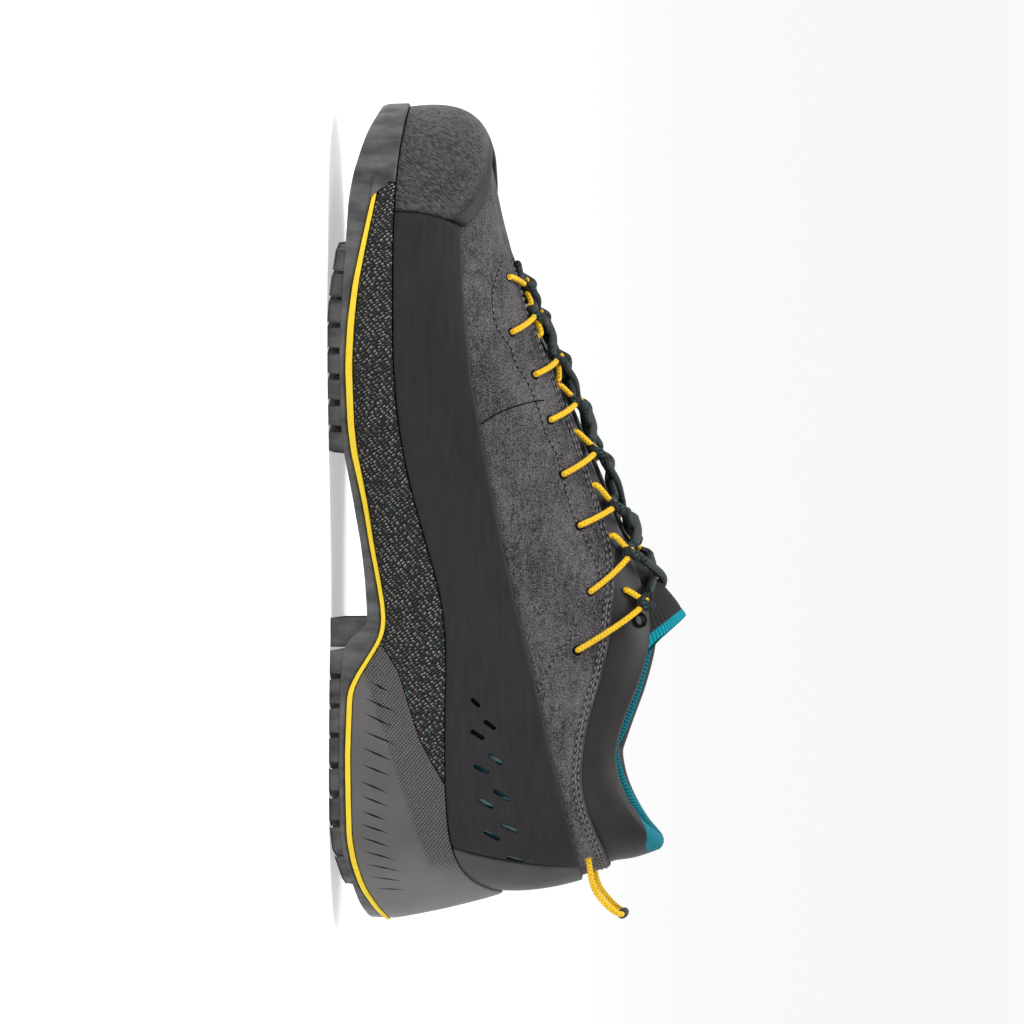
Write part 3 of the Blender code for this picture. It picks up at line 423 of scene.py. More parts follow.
class Look:
    """A material: its Principled shader and the nodes that feed it."""

    def __init__(self, name, **constants):
        self.material = bpy.data.materials.new(name)
        self.material.use_nodes = True
        self.tree = self.material.node_tree
        self.shader = self.tree.nodes["Principled BSDF"]
        for socket, value in constants.items():
            self.shader.inputs[socket.replace("_", " ")].default_value = value

    def node(self, kind, settings, sockets, output=0):
        """Adds and sets up a node, fills its sockets with values or links, and gives one of its outputs."""
        node = self.tree.nodes.new(kind)
        for name, value in settings.items():
            setattr(node, name, value)
        for key, value in sockets.items():
            if isinstance(value, Socket):
                self.tree.links.new(value.out, node.inputs[key])
            else:
                node.inputs[key].default_value = value
        return Socket(self, node.outputs[output])

    def place(self, stretch=(1.0, 1.0, 1.0)):
        """Object coordinates in millimetres."""
        coordinates = self.node("ShaderNodeTexCoord", {}, {}, "Object")
        scale = tuple(1000.0 * x for x in stretch)
        return self.node("ShaderNodeMapping", {}, {"Vector": coordinates, "Scale": scale})

    def axis(self, vector, name):
        return self.node("ShaderNodeSeparateXYZ", {}, {0: vector}, name)

    def forward(self, place):
        """The distance s from the back of the heel."""
        return LENGTH / 2 - self.axis(place, "Y")

    def cloth(self):
        """The places along and across a cloth or round a cord, from its UV map."""
        flat = self.node("ShaderNodeUVMap", {"uv_map": "cloth"}, {})
        return self.axis(flat, "X"), self.axis(flat, "Y")

    def mark(self, name):
        """A value kept on the mesh."""
        return self.node("ShaderNodeAttribute", {"attribute_name": name}, {}, "Fac")

    def pair(self, x, y, z=0.0):
        return self.node("ShaderNodeCombineXYZ", {}, {0: x, 1: y, 2: z})

    def noise(self, vector, size, detail=3.0, roughness=0.5):
        """Noise with features of about size, from 0 to 1."""
        sockets = {"Vector": vector, "Scale": 1.0 / size, "Detail": detail, "Roughness": roughness}
        return self.node("ShaderNodeTexNoise", {}, sockets, "Fac")

    def mix(self, share, first, second):
        """A colour between two colours."""
        first, second = [(*c, 1.0) if isinstance(c, tuple) and len(c) == 3 else c for c in (first, second)]
        return self.node("ShaderNodeMix", {"data_type": "RGBA"}, {0: share, 6: first, 7: second}, 2)

    def bump(self, height_mm):
        return self.node("ShaderNodeBump", {}, {"Height": height_mm, "Distance": MM}, "Normal")

    def finish(self, colour=None, roughness=None, normal=None):
        for socket, value in (("Base Color", colour), ("Roughness", roughness), ("Normal", normal)):
            if value is not None:
                self.tree.links.new(value.out, self.shader.inputs[socket])


def linear(red, green, blue):
    """A colour as the eye's 0 to 255 numbers give it, for a shader."""
    shares = (red / 255, green / 255, blue / 255)
    return tuple(c / 12.92 if c <= 0.04045 else ((c + 0.055) / 1.055) ** 2.4 for c in shares)


BUMPER = 3.0
TOE_STEP = 11.5
STEP_RUN = 0.03
SEAM = 0.35
ROUND = np.linspace(0, LOOP, 393)
STEP_RHO = [TOE_STEP, TOE_STEP + STEP_RUN, LOOP - TOE_STEP, LOOP - TOE_STEP - STEP_RUN]
FINE_RHO = np.unique(np.concatenate([ROUND, STEP_RHO]))


def climbs(rho):
    """1 where the sole's rubber climbs over the toe."""
    return (side_row(rho) > TOE_STEP + 0.01).astype(float)


def sole_line(rho, share, inset, z):
    """Points between the low outline (share 0) and the rim outline (share 1)."""
    share = np.broadcast_to(share, rho.shape)[..., None]
    plan = outline(rho, LOW, inset) * (1 - share) + outline(rho, RIM, inset) * share
    return np.concatenate([plan, np.broadcast_to(z, rho.shape)[..., None]], axis=-1)


def edge_s(rho):
    return girth(rho)[..., LOW]


def rim_z(rho):
    return girth(rho)[..., RIM_Z]


def between_lines(lines):
    """A where() for laid_grid that lays each whole step up on its own line of points."""

    def where(rho, step):
        points = np.zeros((len(rho), 3))
        for number, line in enumerate(lines):
            near = np.abs(step - number) < 0.5
            points[near] = line(rho[near])
        return points

    return where


def closing(line):
    """A where() for laid_grid that closes a line round the shoe straight across."""
    return lambda rho, share: line(rho) * (1 - share[:, None]) + line(LOOP - rho) * share[:, None]


def capped(bm, lines):
    """The side of a layer round the shoe, with its underside and top closed across."""
    laid_grid(bm, FINE_RHO, np.arange(len(lines)), between_lines(lines))
    for line in (lines[0], lines[-1]):
        laid_grid(bm, FINE_RHO[FINE_RHO <= ROWS], np.linspace(0, 1, 9), closing(line))


def low_z(rho):
    return height("low", edge_s(rho)) - SEAM


def toe_edge(rho):
    """Height of the upper edge of the sole's rubber: it leaves the stripe and climbs to the rim."""
    return low_z(rho) + (rim_z(rho) - low_z(rho)) * climbs(rho)


OUTSOLE_STEPS = ("web", "foot", "knee", "side", "lip", "top", "inner", "seat")


def outsole_line(step):
    """A line round the outsole: from the web between the lugs up its side and over into its seat."""

    def line(rho):
        web, low, edge, over = height("web", edge_s(rho)), low_z(rho), toe_edge(rho), climbs(rho)
        share, inset, z = {
            "web": (0.0, 1.9, web),
            "foot": (0.0, 1.0, web + 0.3),
            "knee": (0.0, 0.55, web + 1.1),
            "side": (0.0, 0.45 - 0.3 * over, low - 0.5),
            "lip": (over * 0.9, 0.5 - 0.9 * over, edge - 0.5),
            "top": (over, 0.8 - 0.7 * over, edge),
            "inner": (over, BUMPER, edge),
            "seat": (0.0, BUMPER + 0.2, low),
        }[step]
        return sole_line(rho, share, inset, z)

    return line


def side_edge(side, s, inset):
    """How far out the sole reaches at s, less an inset."""
    plan = outline(on_side(side, np.linspace(0.2, ROWS - 0.2, 200)), LOW, inset)
    return float(np.interp(s, plan[:, 0], plan[:, 1]))


LUG_ROUNDING = 0.45
LUG_SINK = 0.8


def add_lug(bm, corners, grow):
    """A rubber block under the sole. corners are the four (s, w) points of its foot."""
    middle = np.mean(corners, axis=0)
    verts = bmesh.ops.create_cube(bm, size=1.0)["verts"]
    order = {(-1, -1): 0, (1, -1): 1, (1, 1): 2, (-1, 1): 3}
    for vert in verts:
        corner = np.array(corners[order[(1 if vert.co.x > 0 else -1, 1 if vert.co.y > 0 else -1)]], float)
        if vert.co.z < 0:
            point = (*corner, float(height("ground", corner[0])))
        else:
            corner = middle + (corner - middle) * grow
            point = (*corner, float(height("web", corner[0])) + LUG_SINK)
        vert.co = metres(np.array(point))
    edges = {edge for vert in verts for edge in vert.link_edges}
    bmesh.ops.bevel(
        bm, geom=list(edges), offset=LUG_ROUNDING * MM, segments=2, profile=0.5, affect="EDGES", material=-1,
        offset_type="OFFSET",
    )


LugRow = namedtuple("LugRow", "first last pitch length slant tracks")
LUG_ROWS = [
    LugRow(171.0, 236.0, 9.2, 6.4, 2.6, (-0.36, 0.0, 0.36)),
    LugRow(20.0, 94.0, 10.4, 7.2, -2.6, (-0.30, 0.30)),
]
SIDE_INSET = 2.3
SIDE_LUG = 9.5
TRACK_INSET = 12.0
TRACK_HALF = 4.2
BREAST = (98.6, 108.0)
BREAST_INSET = 2.4


def add_lugs(bm):
    """Slanting lugs along both sides and in tracks between them, and three blocks at the heel breast."""
    for row in LUG_ROWS:
        half = row.length / 2
        for s in np.arange(row.first, row.last, row.pitch):
            for side in (1, -1):
                rear, front = (side_edge(side, end, SIDE_INSET) for end in (s - half, s + half))
                inner = side * SIDE_LUG
                add_lug(bm, [
                    (s - half, rear), (s + half, front),
                    (s + half + row.slant, front - inner), (s - half + row.slant, rear - inner),
                ], 1.12)
            low_w, high_w = side_edge(-1, s, TRACK_INSET), side_edge(1, s, TRACK_INSET)
            for track in row.tracks:
                w = (low_w + high_w) / 2 + track * (high_w - low_w)
                add_lug(bm, [
                    (s - half + row.slant, w - TRACK_HALF), (s - half, w + TRACK_HALF),
                    (s + half, w + TRACK_HALF), (s + half + row.slant, w - TRACK_HALF),
                ], 1.15)
    rear, front = BREAST
    for low, high in ((-0.95, -0.36), (-0.22, 0.22), (0.36, 0.95)):
        side = 1 if low + high > 0 else -1
        reach = side * side_edge(side, rear, BREAST_INSET)
        corners = [(rear, low * reach), (rear, high * reach), (front, high * reach), (front, low * reach)]
        add_lug(bm, corners, 1.04)


sole_rubber = Look("sole_rubber", Roughness=0.5, Specular_IOR_Level=0.45)
sole_place = sole_rubber.place()
sole_mottle = sole_rubber.noise(sole_place, 9.0)
sole_dust = sole_rubber.noise(sole_place, 0.8, 4.0)
# Long pale smears lighten the rubber as painted sheen, and the same smears are also made glossier.
sole_sheen_noise = sole_rubber.noise(sole_rubber.place(stretch=(1.0, 1.0, 0.35)), 5.5, 3.0, 0.6)
sole_gloss_and_painted_sheen = (sole_sheen_noise * 1.7 - 0.55).clamp()
sole_tone = sole_gloss_and_painted_sheen * 0.75 + (sole_mottle - 0.5) * 0.6 + sole_dust * 0.2
sole_rubber.finish(
    colour=sole_rubber.mix(sole_tone.clamp(), linear(34, 34, 35), linear(112, 112, 113)),
    roughness=0.55 - sole_gloss_and_painted_sheen * 0.2,
    normal=sole_rubber.bump(sole_rubber.noise(sole_place, 0.35, 2.0) * 0.06),
)
bm = bmesh.new()
capped(bm, [outsole_line(step) for step in OUTSOLE_STEPS])
add_lugs(welded(bm))
outsole = shoe_piece(bm, "tread", sole_rubber)
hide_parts("outsole")

# Stripe
# A thin layer of yellow foam between outsole and midsole. It stands a little proud all round, and ends where
# the sole's rubber climbs over the toe.

yellow_foam = Look("yellow_foam", Roughness=0.5, Specular_IOR_Level=0.25)
stripe_place = yellow_foam.place()
stripe_tone = yellow_foam.noise(stripe_place, 14.0)
yellow_foam.finish(
    colour=yellow_foam.mix(stripe_tone, linear(232, 198, 42), linear(246, 218, 66)),
    normal=yellow_foam.bump(yellow_foam.noise(stripe_place, 0.5, 2.0) * 0.05),
)


def stripe_inset(rho):
    return (BUMPER + 0.4) * climbs(rho)


def stripe_line(share, proud):
    def line(rho):
        s = edge_s(rho)
        z = height("low", s) * (1 - share) + (height("high", s) - SEAM) * share
        return sole_line(rho, 0.0, stripe_inset(rho) - proud, z)

    return line


# Each line's share of the way up the layer, and how proud it stands.
STRIPE_ROWS = [(0, -0.4), (0.06, 0.1), (0.3, 0.4), (0.7, 0.4), (0.94, 0.1), (1, -0.4)]
bm = bmesh.new()
capped(bm, [stripe_line(*row) for row in STRIPE_ROWS])
stripe = shoe_piece(welded(bm), "yellow_layer", yellow_foam)
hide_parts("stripe")

# Midsole and heel wedge
# One foam cup, cut along a slanting line: dark foam faced with a coarse glinting fabric in front, and bare
# grey foam with a row of slits under the heel.

BELLY = 0.7
LEDGE = 8.6
BED_INSET = 11.5
UPPER_INSET = 4.2

# Heights of the bed's floor along the shoe.
Bed = namedtuple("Bed", "s floor")
BEDS = [
    Bed(0.0, 28.0), Bed(60.0, 27.0), Bed(88.0, 27.4), Bed(110.0, 26.0), Bed(140.0, 21.6), Bed(170.0, 17.6),
    Bed(200.0, 16.0), Bed(225.0, 17.0), Bed(245.0, 19.6), Bed(262.0, 22.2), Bed(292.0, 25.6),
]

# The slanting line between the faced foam and the bare foam, from the sole up.
Split = namedtuple("Split", "s z")
SPLITS = [
    Split(98.5, 18.6), Split(89.5, 24.3), Split(77.0, 28.2),
    Split(66.0, 31.6), Split(59.0, 35.1), Split(47.6, 41.4),
]


def bed_floor(s):
    return np.interp(s, column(BEDS, "s"), column(BEDS, "floor"))


def cup_line(share, belly):
    """A line of the cup's side: share of the way from the stripe to the rim."""

    def line(rho):
        low = height("high", edge_s(rho))
        out = belly * BELLY * (1 - climbs(rho))
        return sole_line(rho, share, stripe_inset(rho) - out, low + (rim_z(rho) - low) * share)

    return line


def ledge_line(inset):
    return lambda rho: sole_line(rho, 1.0, inset, rim_z(rho))


def bed_line(inset, lift):
    """A line that far in from the edge of the bed, lifted off its floor."""

    def line(rho):
        plan = outline(rho, RIM, BED_INSET + inset)
        return np.concatenate([plan, bed_floor(plan[..., 0])[..., None] + lift], axis=-1)

    return line


def cup_mesh():
    bm = bmesh.new()
    sides = [cup_line(0.0, -0.5), cup_line(0.03, 0.0)]
    sides += [cup_line(share, 4 * share * (1 - share)) for share in (0.12, 0.25, 0.4, 0.55, 0.7, 0.85)]
    sides += [cup_line(0.97, 0.0), cup_line(1.0, -0.6)]
    capped(bm, [*sides, ledge_line(UPPER_INSET), ledge_line(LEDGE), bed_line(0.0, 0.0)])
    return welded(bm)


def wedge_profile(lift):
    """The side view of the wedge, grown by lift past the line where the cup is cut."""
    front = [(row.s + lift, row.z + lift) for row in SPLITS]
    foot, head = (front[0][0] + 3.0 * lift, -20.0), (front[-1][0] - 1.0, 90.0)
    return [foot, *front, head, (-30.0, 90.0), (-30.0, -20.0)]


BLADE_HALF = 90.0


def blade(name, profile):
    """A flat prism across the whole shoe, to cut with."""
    bm = bmesh.new()
    verts = [bm.verts.new(metres(np.array((s, -BLADE_HALF, z)))) for s, z in profile]
    face = bm.faces.new(verts)
    pushed = bmesh.ops.extrude_face_region(bm, geom=[face])["geom"]
    moved = [g for g in pushed if isinstance(g, bmesh.types.BMVert)]
    bmesh.ops.translate(bm, verts=moved, vec=Vector((2 * BLADE_HALF * MM, 0, 0)))
    bmesh.ops.recalc_face_normals(bm, faces=bm.faces)
    return mesh_object(bm, name)


def cut(obj, operation, tool):
    """Applies an exact Boolean and removes its tool."""
    modifier = obj.modifiers.new("cut", "BOOLEAN")
    modifier.operation = operation
    modifier.solver = "EXACT"
    modifier.object = tool
    graph = bpy.context.evaluated_depsgraph_get()
    mesh = bpy.data.meshes.new_from_object(obj.evaluated_get(graph))
    obj.modifiers.clear()
    obj.data = mesh
    bpy.data.objects.remove(tool)
    shade(mesh)


PROBE_START = 120.0


def side_probe(obj):
    """Finds the surface of a piece as seen from one side: probe(side, s, z) gives a point and its normal."""
    tree = BVHTree.FromObject(obj, bpy.context.evaluated_depsgraph_get())

    def probe(side, s, z):
        start = Vector(metres(np.array((s, side * PROBE_START, z))))
        return tree.ray_cast(start, Vector((-side, 0, 0)))[:2]

    return probe


facing = Look("fabric_facing", Roughness=0.55, Specular_IOR_Level=0.3)
facing_place = facing.place()
facing_y = facing.axis(facing_place, "Y")
facing_z = facing.axis(facing_place, "Z")
DASH = 1.05
WEAVE_Y, WEAVE_Z = 0.80, 0.60
facing_flow = facing.noise(facing_place, 14.0, 2.0)
facing_bend = facing_y + facing_flow * 5.0
facing_run = facing_bend * WEAVE_Y + facing_z * WEAVE_Z
facing_cross = facing_z * WEAVE_Y - facing_bend * WEAVE_Z
facing_laid = facing.pair(facing_run, facing_cross * 0.62)
dash_sockets = {"Vector": facing_laid, "Scale": 1.0 / DASH, "Randomness": 0.42}
dash_distance = facing.node("ShaderNodeTexVoronoi", {"voronoi_dimensions": "2D"}, dash_sockets, "Distance")
dash_colour = facing.node("ShaderNodeTexVoronoi", {"voronoi_dimensions": "2D"}, dash_sockets, "Color")
dash_luck = facing.node("ShaderNodeSeparateColor", {}, {0: dash_colour}, 0)
facing_thread = dash_distance.ramp(0.62, 0.12)
facing_fibre = facing.noise(facing_place, 0.4, 2.0, 0.6)
facing_glint = (dash_distance.ramp(0.40, 0.12) * (dash_luck + 0.05) * (facing_fibre + 0.45)).clamp()
facing_teal = facing.noise(facing_place, 2.4, 2.0).ramp(0.54, 0.70)
facing_bright = facing.mix(facing_teal, linear(150, 148, 144), linear(84, 140, 134))
facing.finish(
    colour=facing.mix(facing_glint, linear(18, 18, 18), facing_bright),
    roughness=0.65 - facing_glint * 0.25,
    normal=facing.bump(facing_thread * 0.5 + facing_fibre * 0.06),
)

grey_foam = Look("grey_foam", Roughness=0.5, Specular_IOR_Level=0.35)
foam_place = grey_foam.place()
foam_s = grey_foam.forward(foam_place)
foam_z = grey_foam.axis(foam_place, "Z")
MICRO = 1.3
micro_front = (foam_z + foam_s * 0.33).ramp(40.5, 42.5)
micro_rear = (foam_s - 16.0).ramp(0.0, 6.0)
micro_top = (47.0 - foam_z).ramp(0.0, 3.0)
micro_zone = micro_front * micro_rear * micro_top
micro_grid = foam_s.wave(MICRO) * (foam_z + foam_s * 0.2).wave(MICRO) * micro_zone
foam_tone = grey_foam.noise(foam_place, 22.0, 2.0)
# The foam is painted lighter towards the back of the heel: a painted highlight.
foam_painted_rear_highlight = foam_s.ramp(34.0, 12.0)
# The raised dots of the grid are painted lighter at random: painted glints on them.
foam_painted_dot_glints = (grey_foam.noise(foam_place, 0.7, 2.0) * micro_grid).clamp()
foam_light = foam_tone * 0.5 + foam_painted_dot_glints * 2.6 - micro_zone * 0.38 + foam_painted_rear_highlight * 0.35 + 0.1
grey_foam.finish(
    colour=grey_foam.mix(foam_light.clamp(), linear(64, 62, 62), linear(124, 122, 122)),
    roughness=0.5 + micro_zone * 0.15,
    normal=grey_foam.bump(micro_grid * 0.20 + grey_foam.noise(foam_place, 0.4, 2.0) * 0.03),
)

WEDGE_GAP = 0.3
midsole = shoe_piece(cup_mesh(), "midsole_cup", facing)
cut(midsole, "DIFFERENCE", blade("wedge_blade", wedge_profile(WEDGE_GAP)))
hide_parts("midsole")
wedge = shoe_piece(cup_mesh(), "heel_wedge_foam", grey_foam)
cut(wedge, "INTERSECT", blade("foam_blade", wedge_profile(0.0)))

# From the lower front end of each slit to its upper rear end.
Slit = namedtuple("Slit", "low_s low_z high_s high_z")
SLITS = [
    Slit(85.9, 14.7, 82.0, 21.8), Slit(80.2, 12.5, 74.8, 24.3), Slit(74.8, 12.5, 69.5, 23.3),
    Slit(68.4, 12.2, 63.4, 24.0), Slit(62.6, 11.8, 57.6, 22.9), Slit(56.6, 11.8, 52.3, 22.2),
    Slit(50.8, 11.1, 46.2, 21.1), Slit(45.5, 11.5, 41.5, 21.1), Slit(40.1, 11.5, 36.5, 20.4),
    Slit(35.4, 11.1, 31.9, 21.1), Slit(30.8, 11.1, 26.9, 21.8), Slit(25.8, 11.8, 22.2, 23.6),
    Slit(21.1, 12.5, 18.3, 24.7), Slit(16.5, 14.3, 14.7, 25.4), Slit(12.2, 16.1, 11.5, 26.1),
]
SLIT_DEPTH = 1.5
SLIT_WIDTH = 0.75
wedge_probe = side_probe(wedge)
bm = bmesh.new()
for side in (1, -1):
    for slit in SLITS:
        a, a_out = wedge_probe(side, slit.low_s, slit.low_z)
        b, b_out = wedge_probe(side, slit.high_s, slit.high_z)
        m, m_out = wedge_probe(side, (slit.low_s + slit.high_s) / 2, (slit.low_z + slit.high_z) / 2)
        half = (b - a).cross(m_out).normalized() * (SLIT_WIDTH / 2 * MM)
        points = [a + a_out * 0.4 * MM, b + b_out * 0.4 * MM, a - a_out * 0.2 * MM, b - b_out * 0.2 * MM]
        points += [m + half + m_out * MM, m - half + m_out * MM, m + half, m - half]
        points += [m * 0.6 + end * 0.4 - m_out * SLIT_DEPTH * MM for end in (a, b)]
        verts = [bm.verts.new(point) for point in points]
        hull = bmesh.ops.convex_hull(bm, input=verts)
        bmesh.ops.delete(bm, geom=hull["geom_interior"], context="VERTS")
cut(wedge, "DIFFERENCE", mesh_object(bm, "slit_blades"))
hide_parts("heel_wedge")

# Toe corners
# The sole's black rubber where it laps back over the front end of the fabric, one thin tongue on each side.
# It is moulded with the sole and ends in a slanting edge.

CORNER_START = 257.2
CORNER_END = 264.6
CORNER = 0.5

# Each line's share of the way up to the slanting edge, and how far it stands out: up the face, down the back.
CORNER_RING = [
    (0.0, -0.4), (0.02, CORNER), (0.3, CORNER), (0.6, CORNER), (0.9, CORNER), (0.97, 0.35), (1.0, -0.4),
    (0.5, -0.4), (0.0, -0.4),
]


def corner_rho(side):
    """Girths along the corner of one side."""
    rho = on_side(side, np.linspace(9.0, 12.0, 301))
    ends = [float(np.interp(s, edge_s(rho), rho)) for s in (CORNER_START, CORNER_END)]
    return np.linspace(*ends, 25)


def corner_point(rho, share, out):
    """A point of the lapped rubber: share runs from the outsole's edge up to the slanting edge."""
    reach = np.clip((edge_s(rho) - CORNER_START) / (CORNER_END - CORNER_START), 0, 1)
    high = share * reach
    low = height("low", edge_s(rho)) - 0.6
    belly = BELLY * 4 * high * (1 - high)
    return sole_line(rho, high, -(belly + out), low + (rim_z(rho) - low) * high)


bm = bmesh.new()
for side in (1, -1):
    lines = [lambda rho, row=row: corner_point(rho, *row) for row in CORNER_RING]
    laid_grid(bm, corner_rho(side), np.arange(len(lines)), between_lines(lines))
bmesh.ops.remove_doubles(bm, verts=bm.verts, dist=WELD * MM)
bmesh.ops.holes_fill(bm, edges=[edge for edge in bm.edges if edge.is_boundary], sides=0)
bmesh.ops.recalc_face_normals(bm, faces=bm.faces)
toe_corners = shoe_piece(bm, "toe_corners", sole_rubber)

# Insole
# A loose footbed of dark woven fabric over foam.
# Its edge is soft and rounded, and it lies on the floor of the cup.

insole_cloth = Look("insole_cloth", Roughness=0.9, Specular_IOR_Level=0.15)
insole_place = insole_cloth.place()
insole_s = insole_cloth.forward(insole_place)
insole_w = insole_cloth.axis(insole_place, "X")
INSOLE_YARN = 0.9
insole_weave = insole_s.wave(INSOLE_YARN) * insole_w.wave(INSOLE_YARN)
insole_cloth.finish(
    colour=insole_cloth.mix(insole_weave * 0.3 + 0.4, linear(36, 35, 36), linear(54, 52, 52)),
    normal=insole_cloth.bump(insole_weave * 0.12 + insole_cloth.noise(insole_place, 4.0) * 0.4),
)

# How far each line lies in from the bed's edge, and how high over its floor.
INSOLE_ROWS = [(0.8, 0.3), (0.5, 1.5), (0.5, 2.8), (0.9, 3.7), (1.8, 4.0)]
bm = bmesh.new()
capped(bm, [bed_line(*row) for row in INSOLE_ROWS])
insole = shoe_piece(welded(bm), "footbed", insole_cloth)
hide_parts("insole")

# Upper
# The boot that everything else is sewn or glued to: smooth black microfibre outside, which shows as the strip
# along the throat and as the padded collar, and a teal knitted lining that is turned over the collar's edge.

RIM_GAP = 0.5
WALL = 2.2
COLLAR_PAD = 4.4
GAP = 0.3
SUEDE = 1.2
OVER_SUEDE = GAP + SUEDE + GAP
CAP_ENDS = (11.05, 17.45)

# The height of the rands' upper edge, and the width of the smooth strip along the opening.
Band = namedtuple("Band", "row rand_z strip")
BANDS = [
    Band(0, 87.2, 17.5), Band(1, 87.0, 17.5), Band(2, 86.0, 15.5), Band(3, 83.0, 13.0), Band(4, 78.0, 11.5),
    Band(5, 72.4, 12.5), Band(6, 66.4, 16.0), Band(7, 60.8, 13.5), Band(8, 55.4, 12.5), Band(9, 50.0, 12.5),
    Band(10, 46.8, 13.0), Band(11, 45.6, 12.0), Band(12, 45.2, 9.0), Band(13, 45.0, 8.0), Band(14, 45.0, 7.5),
]

# The upper edge of the toe cap, as a share of the way up the girth line.
CapEdge = namedtuple("CapEdge", "rho v")
CAP_EDGES = [
    CapEdge(11.05, 0.35), CapEdge(11.3, 0.41), CapEdge(11.6, 0.46), CapEdge(12.0, 0.50), CapEdge(12.5, 0.515),
    CapEdge(13.0, 0.505), CapEdge(13.6, 0.49), CapEdge(14.4, 0.49), CapEdge(15.2, 0.51), CapEdge(15.7, 0.53),
    CapEdge(16.2, 0.52), CapEdge(16.8, 0.48), CapEdge(17.2, 0.44), CapEdge(17.45, 0.39),
]


def matched(*values):
    """Numbers or arrays, all as arrays of one shape."""
    return np.broadcast_arrays(*(np.asarray(value, float) for value in values))


def wall(rho, v):
    """A point of the upper's outer face: v is 0 at the rim and 1 at the opening."""
    rho, v = matched(rho, v)
    at = girth(rho)
    foot = np.concatenate([outline(rho, RIM, UPPER_INSET), at[..., RIM_Z, None] + RIM_GAP], axis=-1)
    top = at[..., TOP]
    fan = foot[..., :2] - top[..., :2]
    fan = fan / np.linalg.norm(fan, axis=-1, keepdims=True)
    lower, upper = foot.copy(), top.copy()
    lower[..., :2] += outward(rho, RIM) * at[..., BULGE, None]
    lower[..., 2] += at[..., RISE]
    upper[..., :2] += fan * at[..., BROW, None]
    upper[..., 2] -= at[..., DROP]
    v = v[..., None]
    return (1 - v) ** 3 * foot + 3 * (1 - v) ** 2 * v * lower + 3 * (1 - v) * v**2 * upper + v**3 * top


def wall_normal(rho, v):
    v = np.clip(v, 0.0, 1.0)
    rise = wall(rho, np.minimum(v + 0.01, 1)) - wall(rho, np.maximum(v - 0.01, 0))
    along = wall(rho + 0.01, v) - wall(rho - 0.01, v)
    normal = np.cross(rise, along)
    normal[..., 2] *= np.clip(v / 0.12, 0, 1)
    return normal / np.linalg.norm(normal, axis=-1, keepdims=True)


def shifted(rho, v, distance):
    """The wall moved out by distance."""
    rho, v, distance = matched(rho, v, distance)
    return wall(rho, v) + wall_normal(rho, v) * distance[..., None]


RING = np.linspace(0, LOOP, 561)
RING_V = np.linspace(0, 1, 161)
ring_walls = wall(np.repeat(RING, len(RING_V)), np.tile(RING_V, len(RING))).reshape(len(RING), len(RING_V), 3)
ring_runs = np.zeros(ring_walls.shape[:2])
ring_runs[:, 1:] = np.cumsum(np.linalg.norm(np.diff(ring_walls, axis=1), axis=2), axis=1)
ring_length = ring_runs[:, -1]


def on_ring(values, rho):
    return np.interp(np.mod(rho, LOOP), RING, values)


def v_down(rho, down):
    """Where the girth line is this far, along itself, from the opening."""
    rho, down = matched(rho, down)
    place_on = np.mod(rho, LOOP) / LOOP * (len(RING) - 1)
    low = np.clip(place_on.astype(int), 0, len(RING) - 2)
    share = place_on - low
    flat = []
    for i, t, d in zip(low.ravel(), share.ravel(), down.ravel()):
        near = np.interp(ring_length[i] - d, ring_runs[i], RING_V)
        far = np.interp(ring_length[i + 1] - d, ring_runs[i + 1], RING_V)
        flat.append(near * (1 - t) + far * t)
    return np.array(flat).reshape(rho.shape)


def band(name, rho):
    return np.interp(side_row(rho), column(BANDS, "row"), column(BANDS, name))


def softened(values, reach=5):
    """A closed line of values with its corners rounded."""
    kernel = np.hanning(2 * reach + 3)[1:-1]
    padded = np.concatenate([values[-reach - 1 : -1], values, values[1 : reach + 1]])
    return np.convolve(padded, kernel / kernel.sum(), mode="valid")


ring_high = np.maximum.accumulate(ring_walls[:, :, 2], axis=1)
rand_v = softened(np.array([np.interp(z, line, RING_V) for z, line in zip(band("rand_z", RING), ring_high)]))
cap_v = softened(np.interp(RING, column(CAP_EDGES, "rho"), column(CAP_EDGES, "v")), 3)
suede_v = v_down(RING, softened(band("strip", RING)))


def rand_top(rho):
    return on_ring(rand_v, rho)


def cap_top(rho):
    return on_ring(cap_v, rho)


def suede_top(rho):
    return on_ring(suede_v, rho)


def ankle(rho):
    """1 round the padded collar, fading out along the throat."""
    return np.clip((6.6 - side_row(rho)) / 1.6, 0, 1)


ROLL = 7


def upper_steps():
    """Lines of the upper, from the rim up the outside, over the edge and down the inside."""
    outside = [("out", v) for v in np.concatenate([np.linspace(0, 0.6, 7), np.linspace(0.64, 1, 15)])]
    roll = [("roll", k / (ROLL + 1) * math.pi) for k in range(1, ROLL + 1)]
    inside = [("in", v) for v in np.concatenate([np.linspace(1, 0.6, 15), np.linspace(0.54, 0, 10)])]
    return outside + roll + inside


def collar_thickness(rho, v=1.0):
    return WALL + ankle(rho) * COLLAR_PAD * np.clip((v - 0.42) / 0.4, 0, 1)


def upper_line(kind, value):
    def line(rho):
        if kind == "out":
            down = on_ring(ring_length, rho) * (1 - value)
            puff = 0.9 * ankle(rho) * np.sin(math.pi * np.clip(down / 16.0, 0, 1))
            return shifted(rho, value, puff)
        if kind == "in":
            return shifted(rho, value, -collar_thickness(rho, value))
        outer, inner = wall(rho, 1.0), shifted(rho, 1.0, -collar_thickness(rho))
        rise = wall(rho, 1.0) - wall(rho, 0.97)
        rise /= np.linalg.norm(rise, axis=-1, keepdims=True)
        tall = (0.45 * collar_thickness(rho))[..., None]
        return (outer + inner) / 2 + (outer - inner) / 2 * math.cos(value) + rise * math.sin(value) * tall

    return line


ROLL_LENGTH = 9.4


def past_edge(kind, value):
    """How far a line of the upper lies past the outer edge of the opening, roughly, in millimetres."""
    if kind == "out":
        return -40.0 * (1 - value)
    if kind == "roll":
        return 3.0 * value
    return ROLL_LENGTH + 60.0 * (1 - value)


steps = upper_steps()
step_edge = np.array([past_edge(*step) for step in steps])

